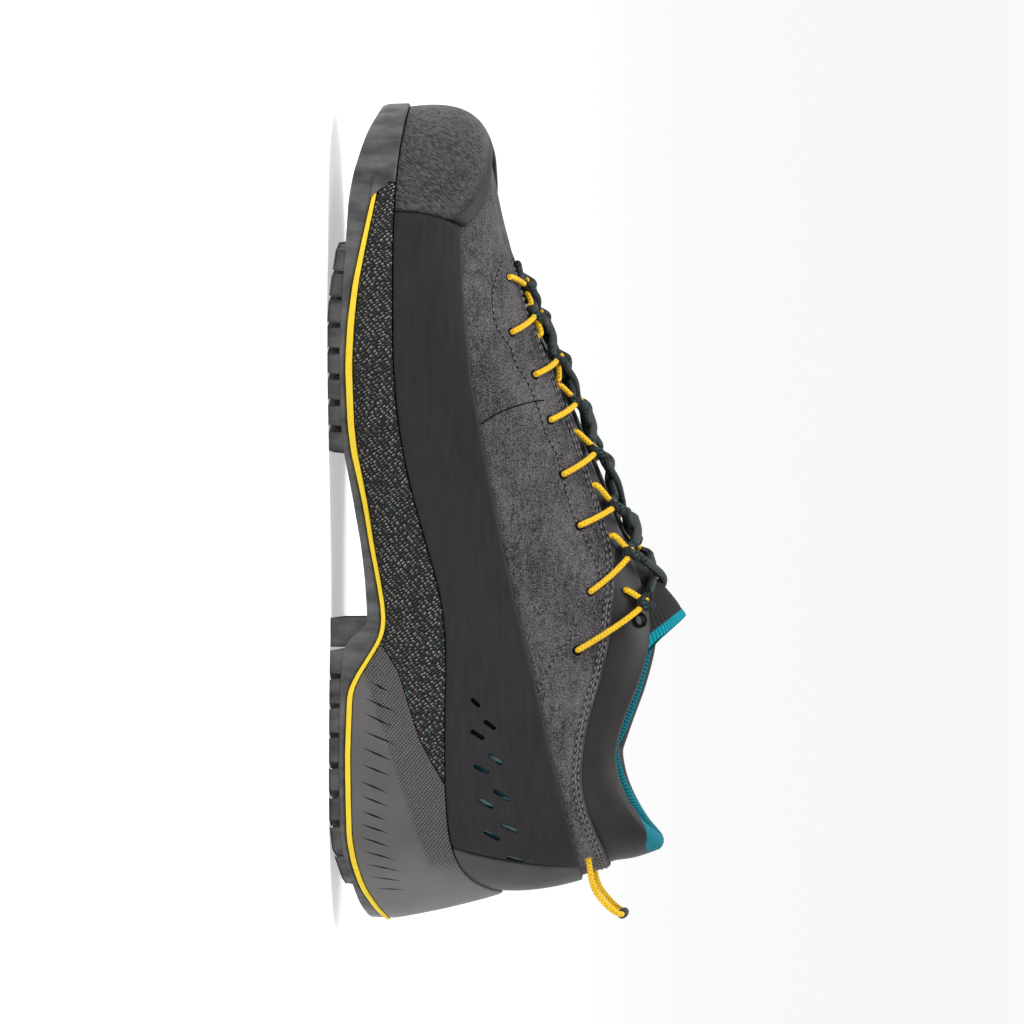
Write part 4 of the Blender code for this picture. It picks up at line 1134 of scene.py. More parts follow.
RIB = 1.6
KNOT = 1.8
collar_skin = Look("collar_microfibre", Roughness=0.5, Specular_IOR_Level=0.35)
collar_place = collar_skin.place()
collar_turn = collar_skin.mark("turn")
collar_ankle = collar_skin.mark("ankle")
collar_grain = collar_skin.noise(collar_place, 0.25, 3.0)
collar_soft = collar_skin.noise(collar_place, 12.0, 3.0)
knit_u, knit_v = collar_skin.cloth()
knit_rib = abs((knit_u * (math.pi / RIB) + knit_v.wave(KNOT) * 0.35).sine())
knit_fleck = collar_skin.noise(collar_place, 0.5, 3.0)
collar_row = collar_skin.mark("row")
lining_start = collar_row.ramp(1.0, 3.2) * 2.8 - 0.6
lining_share = ((collar_turn - lining_start).ramp(-0.12, 0.12) * collar_ankle.ramp(0.25, 0.45)).clamp()
lining_colour = collar_skin.mix(
    (knit_rib * 0.6 + knit_fleck * 0.6 - 0.1).clamp(), linear(2, 74, 88), linear(20, 148, 164)
)
smooth_colour = collar_skin.mix(
    (collar_soft * 0.7 + collar_grain * 0.3).clamp(), linear(24, 22, 23), linear(46, 43, 44)
)
collar_skin.finish(
    colour=collar_skin.mix(lining_share, smooth_colour, lining_colour),
    roughness=0.48 + lining_share * 0.4,
    normal=collar_skin.bump(
        (knit_rib * 0.35 + knit_fleck * 0.15) * lining_share + collar_grain * 0.05 * (1 - lining_share)
    ),
)


def cloth_map(obj, round_length):
    """Keeps the place along and across a closed ring, in millimetres, as its UV map."""
    mesh = obj.data
    uv = mesh.uv_layers.new(name="cloth")
    around = np.zeros(len(mesh.vertices))
    across = np.zeros(len(mesh.vertices))
    mesh.attributes["around"].data.foreach_get("value", around)
    mesh.attributes["across"].data.foreach_get("value", across)
    corners = np.zeros(len(mesh.loops), dtype=int)
    mesh.loops.foreach_get("vertex_index", corners)
    run = around[corners]
    for face in mesh.polygons:
        own = run[face.loop_start:face.loop_start + face.loop_total]
        if own.max() - own.min() > round_length / 2:
            own[own < round_length / 2] += round_length
    uv.data.foreach_set("uv", np.stack([run, across[corners]], axis=1).ravel())


rim_run = girth_knots * (round(girth_knots[-1] / RIB) * RIB / girth_knots[-1])
bm = bmesh.new()
laid_grid(
    bm, ROUND, np.arange(len(steps)), between_lines([upper_line(*step) for step in steps]),
    {
        "turn": lambda a, b: np.interp(b, np.arange(len(steps)), step_edge / ROLL_LENGTH * math.pi),
        "ankle": lambda a, b: ankle(a),
        "row": lambda a, b: side_row(a),
        "around": lambda a, b: np.interp(a, np.arange(LOOP + 1), rim_run),
        "across": lambda a, b: np.interp(b, np.arange(len(steps)), step_edge),
    },
)
foot_rows = [upper_line("in", 0.0), upper_line("out", 0.0)]
laid_grid(bm, ROUND, np.arange(2), between_lines(foot_rows))
upper = shoe_piece(welded(bm), "bootie", collar_skin)
cloth_map(upper, rim_run[-1])
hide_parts("upper")

# Suede overlay
# The grey suede shell glued over the boot, from under the rands up to the strip along the throat. Its edge is
# rolled over, its nap is mottled and it has soft hollows where the foot bends.

JOIN = 0.02
SHEET_SHARP = 60.0


def loop_ends(share):
    return 0.0, float(LOOP)


def sheet_mesh(bm, around, top, lift, thick, ends=loop_ends, relief=None, rows=24):
    """A sheet over the wall, from the rim up to top, with a rounded top edge and rounded ends.

    around runs from 0 to 1 between the two ends, which are functions of the share of the way up."""
    radius = thick / 2
    turns = [k * math.pi / 8 for k in range(5)]
    roll = [(1.0, radius * (1 - math.sin(turn)), radius * (1 + math.cos(turn))) for turn in turns]
    face = [(share, radius * share, thick) for share in np.linspace(0, 1, rows)] + roll[1:]
    back = [(share, drop, thick - out) for share, drop, out in face[::-1][1:]]
    steps = face + back
    closed = ends is loop_ends

    def where(t, step):
        points = np.zeros((len(t), 3))
        for number, (share, drop, out) in enumerate(steps):
            near = np.abs(step - number) < 0.5
            low, high = ends(share)
            rho = low + (high - low) * t[near]
            v = np.clip(top(rho) * share - drop / on_ring(ring_length, rho), 0, 1)
            body = np.full(rho.shape, float(out))
            if relief and number < len(face):
                body += relief(rho, v)
            if not closed:
                reach = np.minimum(t[near], 1 - t[near]) * (high - low) * 20.0 / thick
                body *= np.sqrt(1 - (1 - np.clip(reach, 0, 1)) ** 2)
            points[near] = shifted(rho, v, lift + body)
        return points

    share_at = np.array([share for share, _, _ in steps])
    drop_at = np.array([drop for _, drop, _ in steps])

    def edge_mark(t, step):
        index = np.clip(np.round(step).astype(int), 0, len(steps) - 1)
        rho = ends(0.5)[0] + (ends(0.5)[1] - ends(0.5)[0]) * t
        return (1 - share_at[index]) * top(rho) * on_ring(ring_length, rho) + drop_at[index]

    laid_grid(bm, around, np.arange(len(steps)), where, {"edge": edge_mark})
    laid_grid(bm, around, np.arange(2), lambda t, step: where(t, np.where(step > 0.5, 0, len(steps) - 1)))


# Soft hollows and ridges of the suede: the middle, half length and half width in mm, the lean of the long
# axis from the vertical in degrees, and the height.
Crease = namedtuple("Crease", "side s z long wide lean height")
CREASES = [
    Crease(1, 236.0, 46.0, 15.0, 3.2, -24.0, -0.55), Crease(1, 227.0, 52.0, 13.0, 3.0, -20.0, 0.35),
    Crease(1, 215.0, 55.0, 17.0, 3.4, -14.0, -0.5), Crease(1, 196.0, 60.0, 16.0, 4.2, -8.0, -0.35),
    Crease(1, 150.0, 74.0, 18.0, 5.5, 24.0, -0.45), Crease(1, 120.0, 80.0, 15.0, 6.0, 30.0, 0.4),
    Crease(1, 104.0, 86.0, 17.0, 5.0, 38.0, -0.55), Crease(-1, 234.0, 48.0, 15.0, 3.2, -22.0, -0.55),
    Crease(-1, 222.0, 52.0, 14.0, 3.2, -16.0, 0.35), Crease(-1, 208.0, 56.0, 17.0, 3.6, -12.0, -0.5),
    Crease(-1, 186.0, 60.0, 15.0, 4.4, -6.0, -0.35), Crease(-1, 146.0, 74.0, 18.0, 5.5, 22.0, -0.45),
    Crease(-1, 106.0, 85.0, 17.0, 5.0, 36.0, -0.5),
]


def creases(rho, v):
    points = wall(rho, v)
    side = np.where(np.mod(rho, LOOP) < ROWS, 1, -1)
    total = np.zeros(len(points))
    for crease in CREASES:
        lean = math.radians(crease.lean)
        ds, dz = points[:, 0] - crease.s, points[:, 2] - crease.z
        across = ds * math.cos(lean) + dz * math.sin(lean)
        down = dz * math.cos(lean) - ds * math.sin(lean)
        fall = np.exp(-((across / crease.wide) ** 2) - (down / crease.long) ** 2)
        total += np.where(side == crease.side, fall * crease.height, 0)
    return total


suede_look = Look("suede", Roughness=0.9, Specular_IOR_Level=0.15, Sheen_Weight=0.06, Sheen_Roughness=0.5)
suede_place = suede_look.place()
suede_cloud = suede_look.noise(suede_place, 16.0, 4.0, 0.6)
suede_brushed = suede_look.noise(suede_look.place(stretch=(1.0, 0.5, 1.6)), 2.6, 4.0, 0.62)
suede_nap = suede_look.noise(suede_place, 0.34, 3.0, 0.7)
suede_edge = suede_look.mark("edge")
suede_speckle = suede_look.noise(suede_place, 0.5, 2.0, 0.55)
suede_s = suede_look.forward(suede_place)
# Along its top edge the suede is darker towards the toe and lighter towards the heel.
suede_edge_tone = suede_edge.ramp(9.0, 6.0) * (0.16 - suede_s.ramp(70.0, 100.0) * 0.30)
suede_soft = (suede_cloud - 0.5) * 0.95 + (suede_brushed - 0.5) * 0.85
suede_tone = (suede_speckle * 2.6 - 0.88) + suede_soft + suede_edge_tone
suede_rim = suede_edge.ramp(1.3, 0.3)
suede_z = suede_look.axis(suede_place, "Z")
# The striped cloth that shows through the slots of the rands. Towards the toe it is painted nearly black:
# painted shade in the slots.
backing = suede_s.ramp(86.0, 85.0) * suede_s.ramp(12.0, 13.0) * (suede_z * -1.0).ramp(-71.0, -70.0)
backing_painted_shade = suede_s.ramp(62.0, 63.0)
backing_stripe = (suede_s * 1.9 + suede_z * 0.6).sine().ramp(0.0, 0.5)
suede_colour = suede_look.mix(suede_tone.clamp(), linear(34, 32, 35), linear(116, 113, 116))
suede_colour = suede_look.mix(suede_rim * 0.55, suede_colour, linear(44, 44, 46))
backing_colour = suede_look.mix(backing_stripe, linear(4, 62, 74), linear(104, 134, 140))
backing_colour = suede_look.mix(backing_painted_shade, backing_colour, linear(14, 14, 15))
suede_look.finish(
    colour=suede_look.mix(backing, suede_colour, backing_colour),
    normal=suede_look.bump(suede_speckle * 0.4 + suede_nap * 0.12 + suede_brushed * 0.15),
)
bm = bmesh.new()
sheet_mesh(bm, np.linspace(0, 1, 561), suede_top, GAP, SUEDE, relief=creases, rows=44)
suede = shoe_piece(welded(bm), "suede_shell", suede_look, sharp=SHEET_SHARP)
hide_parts("suede_overlay")

# Rands
# Black rubber bands glued round the shoe over the suede, one on each side. Towards the heel each is pierced
# by a double row of slots.

RAND = 1.3
HEEL_END = (2.15, 1.25)


def along(count):
    """Places from 0 to 1 along a sheet, closer together at its two ends."""
    fine = np.array([0.0008, 0.0025, 0.005])
    return np.unique(np.concatenate([np.linspace(0, 1, count), fine, 1 - fine]))


def heel_reach(share):
    """The row where heel rand and side rand meet, at this share of the way up."""
    return HEEL_END[0] + (HEEL_END[1] - HEEL_END[0]) * share


def medial_ends(share):
    return heel_reach(share) + JOIN, CAP_ENDS[0] - JOIN


def lateral_ends(share):
    return CAP_ENDS[1] + JOIN, LOOP - (heel_reach(share) + JOIN)


rand_rubber = Look("rand_rubber", Roughness=0.55, Specular_IOR_Level=0.28)
rand_place = rand_rubber.place()
rand_streak = rand_rubber.noise(rand_rubber.place(stretch=(1.0, 0.14, 1.5)), 2.4, 3.0)
rand_dust = rand_rubber.noise(rand_place, 18.0, 4.0, 0.6)
rand_grain = rand_rubber.noise(rand_place, 0.22, 2.0)
rand_edge = rand_rubber.mark("edge")
rand_light = (rand_streak * 0.7 + rand_dust * 0.7 + rand_grain * 0.2 - 0.3).clamp()
rand_colour = rand_rubber.mix(rand_light, linear(12, 9, 11), linear(47, 43, 46))
# The rolled upper edge is painted lighter: a painted highlight.
rand_rubber.finish(
    colour=rand_rubber.mix(rand_edge.ramp(1.4, 0.2) * 0.5, rand_colour, linear(54, 51, 54)),
    roughness=0.5 + rand_dust * 0.2,
    normal=rand_rubber.bump(rand_streak * 0.12 + rand_grain * 0.05),
)

# The middle of each slot, its length, and its lean from the length of the shoe in degrees.
Slot = namedtuple("Slot", "s z length lean")
SLOTS = [
    Slot(78.4, 51.9, 4.4, 48.0), Slot(70.5, 57.0, 5.2, 54.0), Slot(67.0, 52.6, 5.8, 58.0),
    Slot(58.2, 58.9, 6.0, 55.0), Slot(54.6, 54.0, 6.4, 60.0), Slot(45.5, 61.0, 6.6, 57.0),
    Slot(42.6, 55.2, 6.8, 58.0), Slot(33.7, 63.5, 6.6, 63.0), Slot(31.0, 57.3, 6.8, 57.0),
    Slot(22.4, 65.3, 6.4, 66.0),
]
SLOT_WIDTH = 1.7
SLOT_DEPTHS = (-4.0, 3.0)


def pierce(obj, side):
    """Cuts the rounded slots of one side through a rand."""
    probe = side_probe(obj)
    bm = bmesh.new()
    for slot in SLOTS:
        point, normal = probe(side, slot.s, slot.z)
        lean = math.radians(slot.lean)
        way = Vector((0.0, math.cos(lean), math.sin(lean)))
        way = (way - normal * way.dot(normal)).normalized()
        cross = normal.cross(way)
        verts = []
        for depth in SLOT_DEPTHS:
            for end in (-1, 1):
                for turn in np.radians(np.linspace(-90, 90, 7)):
                    out = slot.length / 2 - SLOT_WIDTH / 2 + SLOT_WIDTH / 2 * math.cos(turn)
                    offset = way * end * out + cross * SLOT_WIDTH / 2 * math.sin(turn) + normal * depth
                    verts.append(bm.verts.new(point + offset * MM))
        bmesh.ops.convex_hull(bm, input=verts)
    cut(obj, "DIFFERENCE", mesh_object(bm, "slot_blades"))


for name, side, ends in (("rand_medial", 1, medial_ends), ("rand_lateral", -1, lateral_ends)):
    bm = bmesh.new()
    sheet_mesh(bm, along(220), rand_top, OVER_SUEDE, RAND, ends)
    rand = shoe_piece(welded(bm), f"{name}_band", rand_rubber, sharp=SHEET_SHARP)
    pierce(rand, side)
    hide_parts(name)

# Heel rand
# The piece of grey rubber that joins the two rands round the back of the heel. It is glued over the suede
# between their slanting ends.


def heel_ends(share):
    reach = heel_reach(share) - JOIN
    return -reach, reach


heel_rubber = Look("heel_rubber", Roughness=0.5, Specular_IOR_Level=0.35)
heel_place = heel_rubber.place()
heel_tone = heel_rubber.noise(heel_place, 10.0, 3.0)
heel_rubber.finish(
    colour=heel_rubber.mix(heel_tone, linear(50, 49, 49), linear(82, 80, 80)),
    roughness=0.45 + heel_tone * 0.2,
    normal=heel_rubber.bump(heel_rubber.noise(heel_place, 0.3, 2.0) * 0.05),
)
bm = bmesh.new()
sheet_mesh(bm, along(90), rand_top, OVER_SUEDE, RAND, heel_ends)
heel_rand = shoe_piece(welded(bm), "heel_rand_band", heel_rubber, sharp=SHEET_SHARP)
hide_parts("heel_rand")

# Toe cap
# A cap of grey rubber glued over the toes, between the front ends of the rands. Its face is finely wrinkled,
# and a smooth band runs along its upper edge, painted darker as painted shade where the cap turns away.

CAP = 1.7


def cap_ends(share):
    return CAP_ENDS


toe_rubber = Look("toe_rubber", Roughness=0.42, Specular_IOR_Level=0.5)
toe_place = toe_rubber.place()
toe_edge_mark = toe_rubber.mark("edge")
toe_bend = toe_rubber.noise(toe_place, 7.0, 2.0)
toe_x = toe_rubber.axis(toe_place, "X")
toe_y = toe_rubber.axis(toe_place, "Y")
toe_z = toe_rubber.axis(toe_place, "Z")
WRINKLE_Y, WRINKLE_Z = 0.5, 0.87
toe_run = toe_y * WRINKLE_Y + toe_z * WRINKLE_Z
toe_cross = toe_y * WRINKLE_Z - toe_z * WRINKLE_Y
toe_leaning = toe_rubber.pair(toe_run * 0.32, toe_cross, toe_x * 0.6)
toe_wrinkle = toe_rubber.noise(toe_leaning, 0.62, 3.0, 0.6)
toe_fold = toe_rubber.noise(toe_leaning, 1.7, 2.0, 0.5)
toe_cloud = toe_rubber.noise(toe_place, 9.0, 2.0)
pebble_way, pebble_size = {"feature": "DISTANCE_TO_EDGE"}, {"Vector": toe_leaning, "Scale": 1.0}
toe_pebble = toe_rubber.node("ShaderNodeTexVoronoi", pebble_way, pebble_size, "Distance")
toe_face = toe_edge_mark.ramp(4.5, 8.0)
# The wrinkles and the pebbles' edges are painted darker in their hollows and lighter on their ridges: painted
# shade and highlight over the rubber's own random tone.
toe_tone_and_wrinkle_shade = toe_wrinkle * 3.2 - 1.25 + toe_pebble * 0.3 + (toe_fold - 0.5) * 0.4 + (toe_cloud - 0.5) * 0.5
toe_relief = toe_pebble.ramp(0.0, 0.35) * 0.4 + toe_wrinkle * 2.0 + toe_fold * 1.3
# The smooth band along the upper edge is painted darker than the face: painted shade where the cap turns
# away.
toe_rubber.finish(
    colour=toe_rubber.mix(
        toe_face,
        toe_rubber.mix(toe_bend, linear(14, 14, 14), linear(30, 30, 30)),
        toe_rubber.mix(toe_tone_and_wrinkle_shade.clamp(), linear(20, 20, 20), linear(98, 98, 98)),
    ),
    roughness=0.62 - toe_face * 0.17,
    normal=toe_rubber.bump(toe_relief * toe_face + toe_edge_mark.ramp(5.5, 8.0) * 0.12),
)
bm = bmesh.new()
sheet_mesh(bm, along(260), cap_top, OVER_SUEDE, CAP, cap_ends, rows=30)
toe_cap = shoe_piece(welded(bm), "toe_cap_rubber", toe_rubber, sharp=SHEET_SHARP)
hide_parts("toe_cap")

# Tongue
# A padded tongue of black knit that stands up out of the throat. A teal band binds its upper edge, and a
# stitched arc holds the padding below it.

Slice = namedtuple("Slice", "s z middle half_width sag sweep thickness")
SLICES = [
    Slice(222.0, 61.0, 0.0, 12.0, 2.6, 0.0, 2.6),
    Slice(204.0, 71.2, -1.5, 19.0, 5.2, 0.5, 3.2),
    Slice(182.0, 81.8, -3.4, 23.0, 6.6, 1.0, 3.6),
    Slice(160.0, 91.4, -4.0, 24.5, 7.2, 1.5, 4.0),
    Slice(142.0, 100.2, -3.8, 25.5, 8.0, 3.0, 4.6),
    Slice(129.0, 108.4, -3.4, 26.0, 9.6, 6.0, 5.4),
    Slice(117.0, 118.6, -2.4, 25.4, 12.0, 10.0, 6.0),
    Slice(108.0, 126.0, -1.4, 23.6, 14.6, 13.5, 5.8),
]
BINDING = 4.4
ARC = 24.0


def running_length(points):
    """The length of a line of points up to each of them."""
    return np.append(0, np.cumsum(np.linalg.norm(np.diff(points, axis=0), axis=1)))


def smooth_path(points, count):
    """count points, evenly spaced, on a smooth curve through points."""
    points = np.array(points, float)
    ends = np.concatenate([[2 * points[0] - points[1]], points, [2 * points[-1] - points[-2]]])
    dense = []
    for a, b, c, d in zip(ends, ends[1:], ends[2:], ends[3:]):
        for t in np.linspace(0, 1, 24, endpoint=False):
            tangent_b, tangent_c = (c - a) / 2, (d - b) / 2
            dense.append(
                (2 * t**3 - 3 * t**2 + 1) * b
                + (t**3 - 2 * t**2 + t) * tangent_b
                + (3 * t**2 - 2 * t**3) * c
                + (t**3 - t**2) * tangent_c
            )
    dense = np.array([*dense, points[-1]])
    run = running_length(dense[:, :3])
    even = np.linspace(0, run[-1], count)
    return np.stack([np.interp(even, run, dense[:, k]) for k in range(dense.shape[1])], axis=1)


FRONT_DOWN = 12.0
front_point = shifted(float(ROWS), v_down(float(ROWS), FRONT_DOWN), -(WALL + GAP))
front_slice = (front_point[0], front_point[2], front_point[1], 9.0, 2.6, 0.0, 2.4)
TONGUE_ROWS = 120
tongue_rows = smooth_path([front_slice, *SLICES], TONGUE_ROWS)
tongue_run = running_length(tongue_rows[:, :2])
tongue_left = tongue_run[-1] - tongue_run


def on_row(row, values):
    """Values of the tongue's rows, read between the rows."""
    return np.interp(row, np.arange(TONGUE_ROWS), values)


def tongue_point(turn, row):
    """turn goes round the tongue's section and row along it."""
    s, z, middle, half_width, sag, sweep, thickness = (on_row(row, values) for values in tongue_rows.T)
    left = on_row(row, tongue_left)
    share = np.sign(np.cos(turn)) * np.abs(np.cos(turn)) ** 0.55
    rounding = np.sign(np.sin(turn)) * np.abs(np.sin(turn)) ** 0.75
    face, rear = 0.5 * share**4, thickness * (1 - 0.55 * share**4)
    end = np.sqrt(np.clip(1 - (1 - np.clip(left / 2.4, 0, 1)) ** 2, 0, 1))
    bound = smooth(left, BINDING + 0.5, BINDING - 0.3) * 0.35
    arc = ARC + 9.0 * share**2
    groove = np.exp(-(((left - arc) / 1.1) ** 2)) * 0.7 * (share**2 < 0.8)
    puff = 0.9 * smooth(left, 2.0, 9.0) * smooth(left, ARC + 8.0, ARC - 6.0) * (1 - share**4)
    middle_depth, half = (face + rear) / 2, (rear - face) / 2
    depth = middle_depth - rounding * half * end
    depth -= np.where(rounding > 0, bound + puff - groove, 0) * end
    return np.stack([s - sweep * share**2, middle + half_width * share, z - sag * share**2 - depth], axis=-1)


tongue_knit = Look("tongue_knit", Roughness=0.88, Specular_IOR_Level=0.15)
tongue_place = tongue_knit.place()
tongue_end = tongue_knit.mark("left")
tongue_w = tongue_knit.axis(tongue_place, "X")
KNIT_ROW, KNIT_COLUMN, KNIT_WALE = 1.35, 1.5, 2.2
tongue_row = tongue_end.wave(KNIT_ROW)
tongue_column = (tongue_w + tongue_row * 0.25).wave(KNIT_COLUMN)
tongue_mesh = (tongue_row * tongue_column * 0.5 + 0.5).clamp()
tongue_noise = tongue_knit.noise(tongue_place, 0.4, 3.0)
tongue_bound = tongue_end.ramp(BINDING + 0.15, BINDING - 0.15)
tongue_wale = abs(tongue_w.wave(KNIT_WALE))
knit_tone = (tongue_mesh * 0.7 + tongue_noise * 0.4).clamp()
binding_tone = (tongue_wale * 0.7 + tongue_noise * 0.4).clamp()
tongue_knit.finish(
    colour=tongue_knit.mix(
        tongue_bound,
        tongue_knit.mix(knit_tone, linear(20, 20, 20), linear(62, 61, 62)),
        tongue_knit.mix(binding_tone, linear(0, 84, 98), linear(16, 158, 176)),
    ),
    normal=tongue_knit.bump(tongue_mesh * 0.35 * (1 - tongue_bound) + tongue_wale * 0.3 * tongue_bound),
)


def tongue_foot(turn, share):
    """Closes the front end of the tongue, from its rear to its face."""
    share = share[:, None]
    return tongue_point(turn, 0 * turn) * (1 - share) + tongue_point(-turn, 0 * turn) * share


bm = bmesh.new()
left_mark = {"left": lambda turn, row: on_row(row, tongue_left)}
laid_grid(bm, np.linspace(0, 2 * math.pi, 65), np.arange(TONGUE_ROWS), tongue_point, left_mark)
laid_grid(bm, np.linspace(0, math.pi, 33), np.linspace(0, 1, 3), tongue_foot)
tongue = shoe_piece(welded(bm), "padded_tongue", tongue_knit, sharp=70.0)
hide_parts("tongue")

# Seams
# Grey thread: two rows along the suede's edge, a dense third round the ankle, one line outside the eyelets
# and one that holds the heel's padding. Dark cords under all but the ankle row are painted shade for the
# seams' grooves. Every stitch is a rod that dips in at both ends.

STITCH_RADIUS = 0.29
STITCH_LIFT = 0.16
STITCH_SIDES = 6

# A stitch's sections: the share of its length from the middle, and shares of its lift and radius.
StitchRing = namedtuple("StitchRing", "share high wide")
STITCH_RINGS = [
    StitchRing(-0.5, -0.5, 0.45), StitchRing(-0.3, 0.55, 0.9), StitchRing(0.0, 1.0, 1.0),
    StitchRing(0.3, 0.55, 0.9), StitchRing(0.5, -0.5, 0.45),
]


def bridge(bm, first, second):
    """Joins two rings of vertices with a band of faces."""
    for k in range(len(first)):
        j = (k + 1) % len(first)
        bm.faces.new((first[k], first[j], second[j], second[k]))


def add_stitches(bm, path, pitch=2.7, long=1.9):
    """Lays stitches along path, a line of points with their normals beside them in columns 3 to 5."""
    run = running_length(path[:, :3])

    def at(where):
        return np.array([np.interp(where, run, values) for values in path.T])

    for middle in np.arange(pitch / 2, run[-1], pitch):
        rings = []
        for row in STITCH_RINGS:
            centre, normal = np.split(at(middle + row.share * long), 2)
            if not rings:
                ahead = at(middle + long / 2)[:3] - centre
                ahead /= np.linalg.norm(ahead)
                sideways = np.cross(ahead, normal)
                sideways /= np.linalg.norm(sideways)
            ring = []
            for corner in range(STITCH_SIDES):
                angle = 2 * math.pi * corner / STITCH_SIDES
                offset = sideways * math.cos(angle) + normal * math.sin(angle)
                point = centre + normal * (STITCH_LIFT * row.high) + offset * STITCH_RADIUS * row.wide
                ring.append(bm.verts.new(metres(point)))
            rings.append(ring)
        bm.faces.new(rings[0][::-1])
        for first, second in zip(rings, rings[1:]):
            bridge(bm, first, second)
        bm.faces.new(rings[-1])


def on_sheet(rho, v, lift):
    """Points of a sheet's face with its normals."""
    return np.concatenate([shifted(rho, v, lift), wall_normal(rho, v)], axis=1)


def below_suede_edge(low, high, down, count=500):
    rho = np.linspace(low, high, count)
    v = suede_top(rho) - down / on_ring(ring_length, rho)
    return on_sheet(rho, v, GAP + SUEDE + creases(rho, v))


def find_on_wall(side, s, z):
    """The place (rho, v) of the wall seen from one side at s and z."""
    places = np.linspace(0, 1, 81)
    row = float(np.interp(s, column(GIRTHS, "rim_s"), np.arange(len(GIRTHS))))
    for _ in range(40):
        line = wall(on_side(side, row), places)
        v = float(np.interp(z, np.maximum.accumulate(line[:, 2]), places))
        miss = s - float(np.interp(v, places, line[:, 0]))
        row = min(max(row + miss * 0.04, 0.05), ROWS - 0.05)
    return on_side(side, row), v


def along_sides(side, points):
    """A line over the suede through points (s, z) as seen from one side."""
    places = smooth_path([(*find_on_wall(side, s, z), 0.0) for s, z in points], 160)
    rho, v = places[:, 0], places[:, 1]
    return on_sheet(rho, v, GAP + SUEDE + creases(rho, v))


def add_cord(bm, path, wide, high, sides):
    """A rounded cord swept along path, closed at both ends, with its length and turn in the UV map."""
    uv = bm.loops.layers.uv.get("cloth") or bm.loops.layers.uv.new("cloth")
    run = running_length(path)
    tangents = np.gradient(path, axis=0)
    tangents /= np.linalg.norm(tangents, axis=1, keepdims=True)
    up = np.array([0.0, 0.0, 1.0])
    rings = []
    for number, (point, ahead) in enumerate(zip(path, tangents)):
        up = up - ahead * up.dot(ahead)
        up /= np.linalg.norm(up)
        sideways = np.cross(ahead, up)
        end = min(run[number], run[-1] - run[number]) / high
        shrink = math.sqrt(max(1 - (1 - min(end, 1)) ** 2, 0.02))
        ring = []
        for k in range(sides):
            angle = 2 * math.pi * k / sides
            offset = sideways * math.cos(angle) * wide + up * math.sin(angle) * high
            ring.append(bm.verts.new(metres(point + offset * shrink)))
        rings.append(ring)
    for i, (first, second) in enumerate(zip(rings, rings[1:])):
        for k in range(sides):
            j = (k + 1) % sides
            face = bm.faces.new((first[k], first[j], second[j], second[k]))
            for corner, (x, y) in zip(face.loops, ((i, k), (i, k + 1), (i + 1, k + 1), (i + 1, k))):
                corner[uv].uv = (run[x], y / sides)
    bm.faces.new(rings[0][::-1])
    bm.faces.new(rings[-1])


def closed_piece(bm, name, look):
    """A piece made of closed rods, cords or rings, which needs no welding."""
    return shoe_piece(bm, name, look, sharp=80.0)


# Sewn lines over the suede, as (s, z) from the side: the line outside the eyelets from the toe back, the one
# that holds the heel's padding, and the edge of the quarter, which is a narrow ridge, not sewn, drawn dark as
# painted shade.
EYELET_SEAM = [
    (235.2, 60.1), (230.9, 58.4), (223.8, 56.9), (218.4, 57.3), (211.2, 58.7), (204.1, 63.4), (198.0, 65.5),
    (192.2, 69.1), (183.7, 72.7), (172.9, 76.3), (165.8, 79.8), (156.4, 82.3), (143.9, 86.3), (135.7, 90.4),
    (126.7, 94.2), (118.0, 96.6),
]
ANKLE_SEAM = [(103.8, 88.8), (98.0, 83.0), (88.4, 76.6), (78.4, 73.4), (71.5, 72.6)]
QUARTER_EDGE = [(177.2, 53.7), (181.4, 60.5), (184.4, 69.1), (185.4, 75.0)]

EDGE_ROWS = (1.5, 3.4)
ANKLE_ROW = 2.45
GROOVE_SHADE = 0.38

thread = Look("black_thread", Roughness=0.55, Specular_IOR_Level=0.3)
thread_fibre = thread.noise(thread.place(), 0.5)
thread.finish(colour=thread.mix(thread_fibre, linear(66, 64, 66), linear(146, 144, 146)))
# A dark look for the cords of painted shade along the seams, and for the dark rings round the holes.
groove_shade_and_ring_look = Look("painted_groove_shade_and_dark_rings", Roughness=0.9, Specular_IOR_Level=0.05)
groove_shade_and_ring_mottle = groove_shade_and_ring_look.noise(groove_shade_and_ring_look.place(), 1.0)
groove_shade_and_ring_look.finish(colour=groove_shade_and_ring_look.mix(groove_shade_and_ring_mottle, linear(10, 10, 10), linear(26, 25, 26)))
groove_shade_cords = bmesh.new()
for down in EDGE_ROWS:
    for low, high in ((0.0, ROWS - 0.2), (ROWS + 0.2, float(LOOP))):
        add_cord(groove_shade_cords, below_suede_edge(low, high, down, 700)[:, :3], GROOVE_SHADE, 0.12, sides=6)
for side in (1, -1):
    for seam in (EYELET_SEAM, ANKLE_SEAM):
        add_cord(groove_shade_cords, along_sides(side, seam)[:, :3], GROOVE_SHADE, 0.14, sides=6)
    add_cord(groove_shade_cords, along_sides(side, QUARTER_EDGE)[:, :3], 0.5, 0.2, sides=8)
painted_seam_shade = closed_piece(groove_shade_cords, "painted_seam_shade", groove_shade_and_ring_look)
bm = bmesh.new()
for down in EDGE_ROWS:
    add_stitches(bm, below_suede_edge(0.0, float(LOOP), down, 1200))
for low, high in ((0.3, 6.2), (LOOP - 6.2, LOOP - 0.3)):
    add_stitches(bm, below_suede_edge(low, high, ANKLE_ROW), pitch=2.2)
for side in (1, -1):
    for seam in (EYELET_SEAM, ANKLE_SEAM):
        add_stitches(bm, along_sides(side, seam), pitch=2.4, long=1.5)
stitches = closed_piece(bm, "stitches", thread)

# Lace
# One woven lace, black with teal flecks, crossed over the tongue through the cord loops. Its ends stop at the
# top loops.

LACE_WIDE = 1.95
LACE_HIGH = 1.55
LOOP_RADIUS = 0.9

